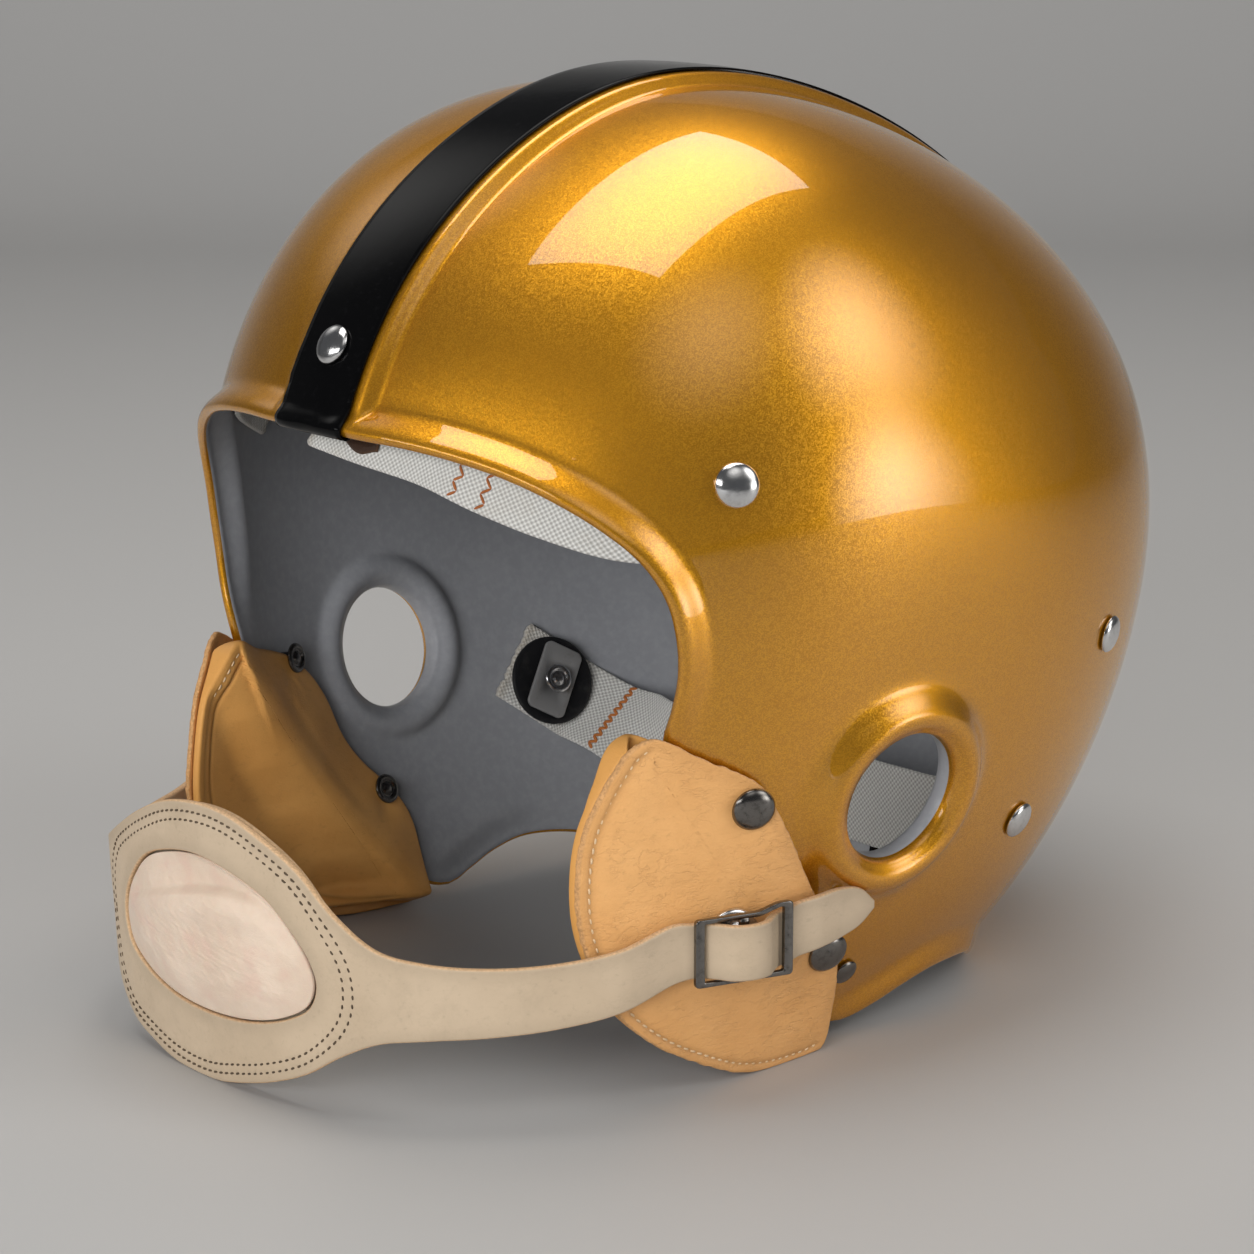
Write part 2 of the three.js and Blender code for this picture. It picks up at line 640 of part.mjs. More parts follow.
// The rolled ring follows the shell's own curve all the way round the hole
function earRing(side) {
  const seat = earPoint(side);
  const axis = earAxis(side);
  const upward = new THREE.Vector3(0, 0, 1).projectOnPlane(axis).normalize();
  const along = upward.clone().cross(axis);
  const rings = Array.from({ length: EAR_SEGMENTS }, (_, i) => {
    const angle = (2 * Math.PI * i) / EAR_SEGMENTS;
    const spoke = upward.clone().multiplyScalar(Math.cos(angle)).addScaledVector(along, Math.sin(angle));
    return EAR_RING.map(({ radius, height }) => onShell(seat.clone().addScaledVector(spoke, radius), height));
  });
  return toSolid(loft(rings, { ends: "joined" }));
}

// Trims off what would reach under the floor, which leaves a small flat foot
function onFloor(solid) {
  const { size, depth } = GROUND;
  const ground = new THREE.BoxGeometry(size, size, depth).translate(0, 0, -depth / 2);
  return solid.subtract(toSolid(ground));
}

function drill(point, axis, { radius = BORE, segments = SHANK_SEGMENTS, depth = DRILL_REACH } = {}) {
  const hole = new THREE.CylinderGeometry(radius, radius, DRILL_REACH + depth, segments);
  hole.rotateX(Math.PI / 2).translate(0, 0, (DRILL_REACH - depth) / 2);
  return toSolid(stand(hole, point, axis));
}

function rivetSites() {
  const shellSites = SHELL_RIVETS.flatMap((rivet) => {
    const sides = rivet.paired ? [1, -1] : [1];
    return sides.map((side) => {
      const point = onShell(new THREE.Vector3(side * rivet.x, rivet.y, rivet.z));
      const depth = rivet.blind ? rivet.inside + SHANK_CLEARANCE : DRILL_REACH;
      return { point, axis: shellNormal(point), depth };
    });
  });
  const jawSites = JAW_RIVETS.flatMap(({ y, z }) =>
    [1, -1].map((side) => {
      const { point, axis } = jawRivetSeat(y, z);
      return { point: point.clone().setX(side * point.x), axis: axis.clone().setX(side * axis.x) };
    }),
  );
  return [...shellSites, ...jawSites];
}

// The moulded shell: wall, rib and ear rings in one, then its holes and its flat feet
function shell() {
  let body = shellWall().add(rib()).add(earRing(1)).add(earRing(-1));
  [1, -1].forEach((side) => {
    body = body.subtract(drill(earPoint(side), earAxis(side), { radius: EAR.holeRadius, segments: EAR_SEGMENTS }));
  });
  rivetSites().forEach(({ point, axis, depth }) => {
    body = body.subtract(drill(point, axis, { depth }));
  });
  return fromSolid(onFloor(body));
}

// A strip of tape: across its width at each place, its outer face and then its inner face
function tapeRing(place) {
  const across = [-TAPE_HALF_WIDTH, 0, TAPE_HALF_WIDTH];
  const outer = across.map((x) => place(x, TAPE_THICKNESS));
  const inner = across.map((x) => place(x, 0));
  return [...outer, ...inner.reverse()];
}

// The rim station under a given x near the middle of the brow or of the nape
function middleStation(index, x) {
  const middle = RIM_LOOP[index];
  const next = RIM_LOOP[(index + 1) % RIM_STATIONS];
  const share = Math.abs(x) / Math.abs(next.at.x);
  const at = middle.at.clone().lerp(next.at.clone().setX(Math.abs(next.at.x)), share).setX(x);
  return { at, inward: middle.inward, flare: middle.flare };
}

function turnInRings(index) {
  const wraps = [
    { distance: TAPE_FOLD.before, base: TAPE_LIFT, face: 1 },
    { distance: TAPE_FOLD.past, base: -WALL / 2, face: 0, out: 1 },
    { distance: TAPE_FOLD.before, base: -WALL - TAPE_LIFT, face: -1 },
    { distance: TAPE_TURN_IN, base: -WALL - TAPE_LIFT, face: -1 },
  ];
  return wraps.map(({ distance, base, face, out = 0 }) =>
    tapeRing((x, raise) => rimPoint(middleStation(index, x), distance - out * raise, base + face * raise)),
  );
}

function stripe() {
  const over = crestPlaces().map((place) => {
    const seat = Math.max(ribTop(place), flareRise(place.flare, place.distance)) + TAPE_LIFT;
    return tapeRing((x, raise) => onCrest(place.angle, x, seat + raise));
  });
  const brow = turnInRings(0).reverse();
  const nape = turnInRings(RIM_STATIONS / 2);
  return loft([...brow, ...over, ...nape]);
}

// A set rivet in one piece: domed head, shank and flat inner head
function rivet(point, axis, { head, rise, outside, inside, blind }) {
  const innerHead = [
    [INNER_HEAD_RADIUS, -inside],
    [INNER_HEAD_RADIUS * 0.7, -inside - INNER_HEAD_DEPTH],
    [0, -inside - INNER_HEAD_DEPTH],
  ];
  const profile = [
    ...RIVET_DOME.map((row) => [head * row.radius, outside + rise * row.rise]),
    [SHANK_RADIUS, outside],
    [SHANK_RADIUS, -inside],
    ...(blind ? [[0, -inside]] : innerHead),
  ];
  return outward(stand(turned(profile, 12), point, axis));
}

function addShellRivets() {
  SHELL_RIVETS.forEach((row) => {
    const point = onShell(new THREE.Vector3(row.x, row.y, row.z));
    const geometry = rivet(point, shellNormal(point), row);
    const finish = row.name === "jaw_stud" ? DARK_NICKEL : NICKEL;
    if (row.paired) addPair(row.name, geometry, finish);
    else addPiece(row.name, geometry, finish);
  });
}

// The flap's inner face: its own gentle form, held off the shell where the shell stands out more
function flapInside(y, z) {
  const { scale, constant, y1, z1, yy, zz, yz } = PAD_FORM;
  const Y = (y - PAD_FORM.y) / scale;
  const Z = (z - PAD_FORM.z) / scale;
  const free = constant + y1 * Y + z1 * Z + yy * Y * Y + zz * Z * Z + yz * Y * Z;
  const bulge = FLAP_BULGE.height * Math.exp(-((y - FLAP_BULGE.y) ** 2 + (z - FLAP_BULGE.z) ** 2) / FLAP_BULGE.spread ** 2);
  const resting = shellSide(y, z, FLAP_GAP);
  const softness = 1;
  return 0.5 * (free + bulge + resting + Math.hypot(free + bulge - resting, softness));
}

// How far a place in the side view lies behind the shell's front edge, where the pad covers it
function insideEdge(y, z) {
  const rows = RIM.filter(({ place }) => place === "cheek" || place === "under the pad");
  const below = rows.findIndex((row) => row.z < z);
  const next = below < 0 ? rows.length - 1 : Math.max(below, 1);
  const upper = rows[next - 1];
  const lower = rows[next];
  const share = clamp((upper.z - z) / (upper.z - lower.z), 0, 2);
  const slope = (lower.y - upper.y) / (upper.z - lower.z);
  return (y - THREE.MathUtils.lerp(upper.y, lower.y, share)) / Math.hypot(1, slope);
}

// The lining's outer face passes behind the shell's wall, and meets the flap past the edge
function liningOutside(y, z) {
  const share = THREE.MathUtils.smoothstep(insideEdge(y, z), LINING_STEP.start, LINING_STEP.end);
  const behindFlap = flapInside(y, z) - CLEARANCE;
  const behindWall = shellSide(y, z, -WALL - LINING_GAP);
  return THREE.MathUtils.lerp(behindFlap, Math.min(behindFlap, behindWall), share);
}

// A leather sheet over the pad's outline, between an outer and an inner face
function padSheet(outer, inner, shrink) {
  const side = PAD_OUTLINE.map(({ y, z }) => ({
    y: PAD_CENTRE.y + (y - PAD_CENTRE.y) * shrink,
    z: PAD_CENTRE.z + (z - PAD_CENTRE.z) * shrink,
  }));
  const ring = (face, share) =>
    side.map(({ y, z }) => {
      const v = PAD_CENTRE.y + (y - PAD_CENTRE.y) * share;
      const w = PAD_CENTRE.z + (z - PAD_CENTRE.z) * share;
      return new THREE.Vector3(face(v, w, share), v, w);
    });
  const out = PAD_RINGS.map((share) => ring(outer, share));
  const back = [...PAD_RINGS].reverse().map((share) => ring(inner, share));
  return loft([...out, ring(outer, 1), ring(inner, 1), ...back]);
}

function jawRivetSeat(y, z) {
  const point = new THREE.Vector3(flapInside(y, z) + FLAP_THICKNESS, y, z);
  const axis = shellNormal(onShell(point));
  return { point, axis };
}

function addJawPads() {
  const flap = padSheet((y, z) => flapInside(y, z) + FLAP_THICKNESS, flapInside, 1);
  const padded = (y, z, share) => {
    const past = (share - LOFT_FLAT_SHARE) / (1 - LOFT_FLAT_SHARE);
    const loftShare = Math.cos((Math.PI / 2) * clamp(past, 0, 1));
    return liningOutside(y, z) - LINING_EDGE - LINING_LOFT * loftShare;
  };
  const lining = padSheet(liningOutside, padded, LINING_SHRINK);
  let flapBody = toSolid(flap);
  let liningBody = toSolid(lining);
  JAW_RIVETS.forEach((row) => {
    const { point, axis } = jawRivetSeat(row.y, row.z);
    const hole = drill(point, axis);
    flapBody = flapBody.subtract(hole);
    liningBody = liningBody.subtract(hole);
    const inside = FLAP_THICKNESS + WALL + JAW_RIVET_INSIDE;
    const body = rivet(point, axis, { ...row, outside: JAW_RIVET_LIFT, inside });
    addPair(row.name, body, DARK_NICKEL);
  });
  addPair("jaw_flap", fromSolid(onFloor(flapBody)), LEATHER);
  addPair("jaw_lining", fromSolid(onFloor(liningBody)), LEATHER);
}

// A ribbon as rings of six points: its upper, middle and lower lines, outside and then inside
function ribbon(stations, place) {
  const shares = [1, 0, -1];
  const rings = Array.from({ length: stations }, (_, i) => {
    const u = i / (stations - 1);
    const outer = shares.map((share) => place(u, share, 0));
    const inner = shares.map((share) => place(u, -share, WEB_THICKNESS));
    return [...outer, ...inner];
  });
  return loft(rings);
}

// A web that follows the shell's inside at the depth that its rows give
function browWeb(rows) {
  const curve = new THREE.CatmullRomCurve3(rows.map(({ x, y, z }) => onShell(new THREE.Vector3(x, y, z))));
  return ribbon(BROW_STATIONS, (u, share, extra) => {
    const at = curve.getPointAt(u);
    const t = curve.getUtoTmapping(u) * (rows.length - 1);
    const row = Math.min(Math.floor(t), rows.length - 2);
    const depth = THREE.MathUtils.lerp(rows[row].depth, rows[row + 1].depth, t - row);
    const across = shellNormal(at).cross(curve.getTangentAt(u)).normalize();
    return onShell(at.addScaledVector(across, (share * BROW_WEB_WIDTH) / 2), -depth - extra);
  });
}

function rearAnchor() {
  const row = SHELL_RIVETS.find(({ name }) => name === "rear_lower_rivet");
  const point = onShell(new THREE.Vector3(row.x, row.y, row.z));
  return { point, axis: shellNormal(point) };
}

// The nape web lies flat under its washers, and swings across the back of the head between them
function napeWeb() {
  const { point, axis } = rearAnchor();
  const seat = point.clone().addScaledVector(axis, -WALL - WEB_GAP);
  const run = new THREE.Vector3(...NAPE_RUN).projectOnPlane(axis).normalize();
  const onWall = [-ANCHOR_FLAT, 0, ANCHOR_FLAT].map((reach) => seat.clone().addScaledVector(run, reach));
  const half = [...onWall, ...NAPE_WEB.map(({ x, y, z }) => new THREE.Vector3(x, y, z))];
  const otherHalf = half.slice(0, -1).reverse().map((p) => p.clone().setX(-p.x));
  const curve = new THREE.CatmullRomCurve3([...half, ...otherHalf], false, "centripetal");
  return ribbon(NAPE_STATIONS, (u, share, extra) => {
    const at = curve.getPointAt(u);
    const side = Math.sign(at.x) || 1;
    const nearWall = THREE.MathUtils.smoothstep(Math.abs(at.x), WEB_LEAVES_WALL.from, WEB_LEAVES_WALL.to);
    const wallNormal = new THREE.Vector3(side * axis.x, axis.y, axis.z);
    const facing = new THREE.Vector3(at.x / HALF_WIDTH, 1, 0).normalize().lerp(wallNormal, nearWall);
    const tangent = curve.getTangentAt(u);
    const normal = facing.projectOnPlane(tangent).normalize();
    const across = normal.clone().cross(tangent);
    const free = at.addScaledVector(across, (share * NAPE_WEB_WIDTH) / 2).addScaledVector(normal, -extra);
    const pressed = -WALL - WEB_GAP + CLEARANCE - extra;
    return heightOverShell(free) > pressed ? onShell(free, pressed) : free;
  });
}

// A leather tab between the shell and the webs, under the front rivet
function browTab() {
  const { halfWidth, top, bottom, thickness, depth } = BROW_TAB;
  const across = [-halfWidth, -halfWidth / 2, 0, halfWidth / 2, halfWidth];
  const rings = [bottom, (bottom + top) / 2, top].map((z) => {
    const place = (x, offset) => onShell(new THREE.Vector3(x, BROW_TAB.y, z), offset);
    return [...across.map((x) => place(x, -depth)), ...across.map((x) => place(-x, -depth - thickness))];
  });
  return loft(rings);
}

function pierced(geometry, names) {
  let body = toSolid(geometry);
  SHELL_RIVETS.filter(({ name }) => names.includes(name)).forEach((row) => {
    const sides = row.paired ? [1, -1] : [1];
    sides.forEach((side) => {
      const point = onShell(new THREE.Vector3(side * row.x, row.y, row.z));
      body = body.subtract(drill(point, shellNormal(point)));
    });
  });
  return fromSolid(body);
}

function addWebs() {
  addPiece("brow_web_left", pierced(browWeb(BROW_WEB_LEFT), ["front_rivet", "side_rivet"]), COTTON);
  addPiece("brow_web_right", pierced(browWeb(BROW_WEB_RIGHT), ["front_rivet", "side_rivet"]), COTTON);
  addPiece("brow_tab", pierced(browTab(), ["front_rivet"]), FINISHES.brownLeather);
  addPiece("nape_web", pierced(napeWeb(), ["rear_lower_rivet"]), COTTON);
}

// Washer and plate of the nape web's anchor, stacked on the web
function addNapeAnchors() {
  const { point, axis } = rearAnchor();
  const washerTop = -WALL - WEB_GAP - WEB_THICKNESS - WASHER_GAP;
  const washer = turned(
    [
      [BORE, washerTop],
      [WASHER_RADIUS, washerTop],
      [WASHER_RADIUS, washerTop - WASHER_THICKNESS],
      [BORE, washerTop - WASHER_THICKNESS],
      [BORE, washerTop],
    ],
    24,
  );
  addPair("nape_washer", outward(stand(washer, point, axis)), FINISHES.rubber);
  const plateTop = washerTop - WASHER_THICKNESS - CLEARANCE;
  const plate = plateBody().translate(0, 0, plateTop - PLATE_THICKNESS);
  const placed = toSolid(stand(plate, point, axis)).subtract(drill(point, axis));
  addPair("nape_plate", fromSolid(placed), FINISHES.steel);
}

function slab(corners, thickness) {
  const shape = new THREE.Shape(corners.map(([along, up]) => new THREE.Vector2(along, up)));
  return new THREE.ExtrudeGeometry(shape, { depth: thickness, bevelEnabled: false });
}

function plateBody() {
  const a = PLATE_LENGTH / 2;
  const b = PLATE_WIDTH / 2;
  const corner = PLATE_CORNER;
  const corners = [
    [-a + corner, -b],
    [a - corner, -b],
    [a, -b + corner],
    [a, b - corner],
    [a - corner, b],
    [-a + corner, b],
    [-a, b - corner],
    [-a, -b + corner],
  ];
  return slab(corners, PLATE_THICKNESS).rotateZ(radians(PLATE_TURN));
}

// The strap's outer face as a curve seen from above, with the heights of its two edges
const STRAP_CURVE = new THREE.CatmullRomCurve3(
  STRAP.map(({ x, y }) => new THREE.Vector3(x, y, 0)),
  false,
  "centripetal",
);
STRAP_CURVE.arcLengthDivisions = 1200;
const STRAP_LENGTH = STRAP_CURVE.getLength();
const CUP_ROW = STRAP.findIndex(({ x }) => x === 0);
const CUP_MIDDLE = arcAt(CUP_ROW / (STRAP.length - 1));

// Length along the strap up to a place given as a share of its rows
function arcAt(t) {
  const lengths = STRAP_CURVE.getLengths();
  const fine = t * (lengths.length - 1);
  const low = Math.min(Math.floor(fine), lengths.length - 2);
  return THREE.MathUtils.lerp(lengths[low], lengths[low + 1], fine - low);
}

// A place on the strap by its length along it: outer face, outward normal and edge heights
function strapAt(arc) {
  const u = clamp(arc / STRAP_LENGTH, 0, 1);
  const t = STRAP_CURVE.getUtoTmapping(u);
  const row = Math.min(Math.floor(t * (STRAP.length - 1)), STRAP.length - 2);
  const share = t * (STRAP.length - 1) - row;
  const tangent = STRAP_CURVE.getTangent(t);
  return {
    at: STRAP_CURVE.getPoint(t),
    normal: new THREE.Vector3(tangent.y, -tangent.x, 0).normalize(),
    top: THREE.MathUtils.lerp(STRAP[row].top, STRAP[row + 1].top, share),
    bottom: THREE.MathUtils.lerp(STRAP[row].bottom, STRAP[row + 1].bottom, share),
  };
}

// A point of the strap's surface, at a height and a depth in from the outer face
function onStrap(arc, height, depth) {
  const { at, normal } = strapAt(arc);
  const nearCup = 1 - THREE.MathUtils.smoothstep(Math.abs(arc - CUP_MIDDLE), CUP_HALF_SPAN, 2 * CUP_HALF_SPAN);
  const lean = CUP_LEAN * (height - CUP_MIDDLE_HEIGHT) * nearCup;
  return at.clone().addScaledVector(normal, lean - depth).setZ(height);
}

function strapRing(arc) {
  const { top, bottom } = strapAt(arc);
  const corners = [
    [top, 0],
    [bottom, 0],
    [bottom, STRAP_THICKNESS],
    [top, STRAP_THICKNESS],
  ];
  return corners.map(([height, depth]) => onStrap(arc, height, depth));
}

function windowRing(depth, shrink) {
  const whole = [...WINDOW, ...WINDOW.slice(1, -1).reverse().map(({ along, up }) => ({ along: -along, up }))];
  return whole.map(({ along, up }) => {
    const height = WINDOW_MIDDLE + (up - WINDOW_MIDDLE) * shrink;
    return onStrap(CUP_MIDDLE + along * shrink, height, depth);
  });
}

function chinStrap() {
  const last = (STRAP.length - 1) * STEPS_PER_ROW;
  const rings = Array.from({ length: last + 1 }, (_, i) => strapRing(arcAt(i / last)));
  const opening = toSolid(loft([windowRing(-WINDOW_CUT.before, 1), windowRing(WINDOW_CUT.behind, 1)]));
  return fromSolid(onFloor(toSolid(loft(rings)).subtract(opening)));
}

// The cup's second leather, behind the front one, drawn together to a round end at each side
function cupBacking() {
  const { beyond, power, least } = BACKING_ROUND;
  const rings = Array.from({ length: BACKING_STEPS + 1 }, (_, i) => {
    const along = -CUP_HALF_SPAN + (2 * CUP_HALF_SPAN * i) / BACKING_STEPS;
    const arc = CUP_MIDDLE + along;
    const { top, bottom } = strapAt(arc);
    const middle = (top + bottom) / 2;
    const fade = Math.sqrt(Math.max(1 - Math.abs(along / (CUP_HALF_SPAN + beyond)) ** power, least));
    const half = ((top - bottom) / 2 - BACKING_INSET) * fade;
    const face = STRAP_THICKNESS + BACKING_SPACE;
    const rows = [
      [middle + half, face],
      [middle, face + BACKING_SAG * fade],
      [middle - half, face],
    ];
    const back = [...rows].reverse().map(([height, depth]) => [height, depth + BACKING_THICKNESS]);
    return [...rows, ...back].map(([height, depth]) => onStrap(arc, height, depth));
  });
  return loft(rings);
}

// The soft pad that fills the window and stands a little proud of it
function chinPad() {
  const front = PAD_SHARES.map((share) => windowRing(-PAD_BULGE * (1 - share * share) + PAD_DEPTHS.middle, share));
  const side = [windowRing(PAD_DEPTHS.edge, PAD_FIT), windowRing(STRAP_THICKNESS, PAD_FIT)];
  const back = [...PAD_SHARES].reverse().map((share) => windowRing(STRAP_THICKNESS + PAD_DEPTHS.back, share));
  return loft([...front, ...side, ...back]);
}

// The frame from the side: its top bar runs low over the front and the middle, then steps up
function buckleFrame() {
  const a = BUCKLE.length / 2;
  const b = BUCKLE.height / 2;
  const c = BUCKLE_CORNER;
  const w = BUCKLE_BAR;
  const low = b - TOP_BAR_DIP;
  const rail = 0.5 * w;
  const outside = [
    [-a + c, -b],
    [a - c, -b],
    [a, -b + c],
    [a, b - c],
    [a - c, b],
    [TOP_STEP.outer[0] * a, b],
    [TOP_STEP.outer[1] * a, low],
    [-a + c, low],
    [-a, low - c],
    [-a, -b + c],
  ];
  const frontGap = [
    [-a + w, -b + rail],
    [-0.5 * w, -b + rail],
    [-0.5 * w, low - rail],
    [-a + w, low - rail],
  ];
  const rearGap = [
    [0.5 * w, -b + rail],
    [a - w, -b + rail],
    [a - w, b - rail],
    [TOP_STEP.inner[0] * a, b - rail],
    [TOP_STEP.inner[1] * a, low - rail],
    [0.5 * w, low - rail],
  ];
  const cutDepth = 3 * BUCKLE_THICKNESS;
  const gaps = [frontGap, rearGap].map((corners) => toSolid(slab(corners, cutDepth).translate(0, 0, -cutDepth / 2)));
  const plate = slab(outside, BUCKLE_THICKNESS).translate(0, 0, -BUCKLE_THICKNESS / 2);
  return fromSolid(toSolid(plate).subtract(gaps[0]).subtract(gaps[1]));
}

// The frame buckle, in the plane of the strap where it crosses the flap
function addBuckle() {
  const frame = buckleFrame().rotateX(Math.PI / 2).rotateZ(Math.PI / 2);
  frame.rotateZ(radians(-BUCKLE.turn)).translate(BUCKLE.x, BUCKLE.y, BUCKLE.z);
  addPiece("buckle", frame, DARK_NICKEL);
}

// The snap's socket on the flap, whose neck carries the buckle's middle bar
function nearSnap() {
  const turn = radians(BUCKLE.turn);
  const axis = new THREE.Vector3(Math.cos(turn), -Math.sin(turn), 0);
  const bar = new THREE.Vector3(BUCKLE.x, BUCKLE.y, BUCKLE.z);
  const seat = flapInside(BUCKLE.y, BUCKLE.z) + FLAP_THICKNESS;
  const depth = (BUCKLE.x - seat) * Math.cos(turn);
  const floor = SNAP_FOOT_GAP - depth;
  const top = -BUCKLE_THICKNESS / 2 - CLEARANCE;
  const profile = [
    [0, top],
    [SNAP_NECK_RADIUS, top],
    [SNAP_NECK_RADIUS, floor + NEAR_SNAP_FOOT[0].height],
    ...NEAR_SNAP_FOOT.map(({ radius, height }) => [SNAP_RADIUS * radius, floor + height]),
    [0, floor],
  ];
  return outward(stand(turned(profile, SNAP_SEGMENTS), bar, axis));
}

// A plain domed snap on the far end of the strap
function farSnap() {
  const { at, normal, top, bottom } = strapAt(FAR_SNAP_ARC);
  const dome = FAR_SNAP_DOME.map(({ radius, height }) => [SNAP_RADIUS * radius, height]);
  const profile = [...dome, [0, 0]];
  const seat = at.clone().addScaledVector(normal, CLEARANCE).setZ((top + bottom) / 2);
  return outward(stand(turned(profile, SNAP_SEGMENTS), seat, normal));
}

addPiece("shell", shell(), FINISHES.paint);
addPiece("centre_stripe", pierced(stripe(), ["front_rivet"]), FINISHES.tape);
addShellRivets();
addJawPads();
addWebs();
addNapeAnchors();
addPiece("chin_strap", chinStrap(), STRAP_LEATHER);
addPiece("cup_backing", cupBacking(), STRAP_LEATHER);
addPiece("chin_pad", chinPad(), FINISHES.softPad);
addBuckle();
addPiece("snap_left", nearSnap(), NICKEL);
addPiece("snap_right", farSnap(), NICKEL);

export default helmet;
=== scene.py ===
# %% [markdown]
# # A moulded football helmet with leather pads
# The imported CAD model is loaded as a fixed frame. Each of its solids is then replaced by a finer
# surface worked out with numpy, in the same place and at the same size, and gets a material of
# its own. Lengths are millimetres until a mesh is made, and heights are measured from the floor.
# The middle of the helmet is at x = 0, the wearer's left is +x, and the face looks along -y.

# %% Load the frame
import json
import math

import bpy
import numpy as np
from mathutils import Matrix

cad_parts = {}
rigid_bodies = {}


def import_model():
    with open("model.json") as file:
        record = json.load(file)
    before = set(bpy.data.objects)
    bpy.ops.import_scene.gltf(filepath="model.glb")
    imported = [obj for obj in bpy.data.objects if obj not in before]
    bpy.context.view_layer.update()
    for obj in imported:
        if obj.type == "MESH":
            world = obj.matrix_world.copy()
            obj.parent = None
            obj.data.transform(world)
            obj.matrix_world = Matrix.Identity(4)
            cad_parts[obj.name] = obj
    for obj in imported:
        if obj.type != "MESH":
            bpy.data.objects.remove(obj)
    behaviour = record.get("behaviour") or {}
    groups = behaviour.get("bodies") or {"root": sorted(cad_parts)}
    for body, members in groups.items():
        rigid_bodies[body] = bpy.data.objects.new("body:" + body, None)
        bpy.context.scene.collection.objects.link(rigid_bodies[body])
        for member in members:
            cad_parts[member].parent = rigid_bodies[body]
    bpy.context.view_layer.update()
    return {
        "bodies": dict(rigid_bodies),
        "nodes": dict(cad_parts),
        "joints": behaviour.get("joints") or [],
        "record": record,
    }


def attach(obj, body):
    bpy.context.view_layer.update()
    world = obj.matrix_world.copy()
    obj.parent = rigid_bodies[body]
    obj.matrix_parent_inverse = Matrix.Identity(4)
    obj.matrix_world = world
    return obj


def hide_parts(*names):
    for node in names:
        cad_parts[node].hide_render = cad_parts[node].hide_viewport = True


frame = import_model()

# %% [markdown]
# ## Camera
# The photograph looks at the wearer's left front, from a little above, through a long lens. The
# camera could be pushed into place by eye. It is worked out from a yaw, a pitch and a distance
# instead, because every size below was judged through it, and each of them can be changed alone.

# %% Camera at the photograph's angle
MIDDLE_Y = 11.25  # the model's origin lies this far behind the ear line
CAMERA_YAW, CAMERA_PITCH, CAMERA_DISTANCE = 48.2, 13.5, 1075.0
FOCAL_PIXELS, FRAME_PIXELS = 4030.0, 1254.0
CAMERA_TARGET = np.array([3.0, 0.0, 95.0])


def to_model(points):
    """Moves points from the ear line to the model's own origin, and turns them into metres."""
    return (np.asarray(points, float) - [0, MIDDLE_Y, 0]) / 1000


def unit(vectors):
    """Vectors scaled to length one."""
    return vectors / np.linalg.norm(vectors, axis=-1, keepdims=True)


def direction(yaw, pitch):
    """The direction at a yaw from straight ahead, towards the wearer's left, and a pitch upward."""
    a, b = math.radians(yaw), math.radians(pitch)
    return np.array([math.sin(a) * math.cos(b), -math.cos(a) * math.cos(b), math.sin(b)])


def aimed(place, target):
    """The matrix of an object that looks at a target: its right, up, back and place as columns."""
    back = unit(np.asarray(place, float) - target)
    right = unit(np.cross([0.0, 0.0, 1.0], back))
    matrix = np.eye(4)
    matrix[:3] = np.stack([right, np.cross(back, right), back, place], -1)
    return Matrix(matrix.tolist())


def show(name, data):
    """A new object in the scene that shows a mesh, a light or a camera."""
    made = bpy.data.objects.new(name, data)
    bpy.context.scene.collection.objects.link(made)
    return made


data = bpy.data.cameras.new("camera")
data.sensor_width = 36
data.lens = data.sensor_width * FOCAL_PIXELS / FRAME_PIXELS
data.clip_end = 20
camera = show("camera", data)
camera_offset = direction(CAMERA_YAW, CAMERA_PITCH) * CAMERA_DISTANCE
camera.matrix_world = aimed(to_model(CAMERA_TARGET + camera_offset), to_model(CAMERA_TARGET))
bpy.context.scene.camera = camera
print("camera at", [round(v, 3) for v in camera.matrix_world.translation])

# %% [markdown]
# ## Meshes from arrays
# Moulded and sewn things are smooth surfaces, so each is a grid of points worked out as whole
# arrays. Grids that meet share their border points and are welded into one closed skin. Modelling
# by hand would be quicker once, but a formula keeps the piece on the CAD solid that it replaces.

# %% Grids, welding and pieces


def grid_faces(rows, cols, wrap_rows=False, wrap_cols=False, start=0):
    """Quads between neighbouring points of a grid that is stored row by row."""
    r = np.arange(rows if wrap_rows else rows - 1)[:, None]
    c = np.arange(cols if wrap_cols else cols - 1)[None, :]
    r2, c2 = (r + 1) % rows, (c + 1) % cols
    corners = [r * cols + c, r * cols + c2, r2 * cols + c2, r2 * cols + c]
    return np.stack([np.broadcast_to(k, (r.size, c.size)) for k in corners], -1).reshape(-1, 4) + start


def quad_sides(quads):
    """All sides of all quads, as pairs of points."""
    return np.concatenate([quads[:, [k, (k + 1) % 4]] for k in range(4)])


def weld(points, quads, extra=None, grid=1e-4):
    """One index for all points that fall on the same place, and the quads in terms of it."""
    keys = np.round(points / grid).astype(np.int64)
    _, first, back = np.unique(keys, axis=0, return_index=True, return_inverse=True)
    merged = {name: values[first] for name, values in (extra or {}).items()}
    return points[first], back.reshape(-1)[quads], merged


def clean_faces(quads):
    """Quads as they are, quads with two equal corners as triangles, and nothing thinner."""
    same = quads == np.roll(quads, -1, axis=1)
    whole = quads[same.sum(1) == 0].tolist()
    folded = quads[same.sum(1) == 1]
    keep = ~same[same.sum(1) == 1]
    return whole + folded[keep].reshape(-1, 3).tolist()


def volume(points, faces):
    """Signed volume: the sum of the tetrahedra between the origin and each triangle."""
    triangles = np.array([(f[0], f[i], f[i + 1]) for f in faces for i in range(1, len(f) - 1)])
    a, b, c = (points[triangles[:, k]] for k in range(3))
    return float(np.einsum("ij,ij->i", a, np.cross(b, c)).sum() / 6)


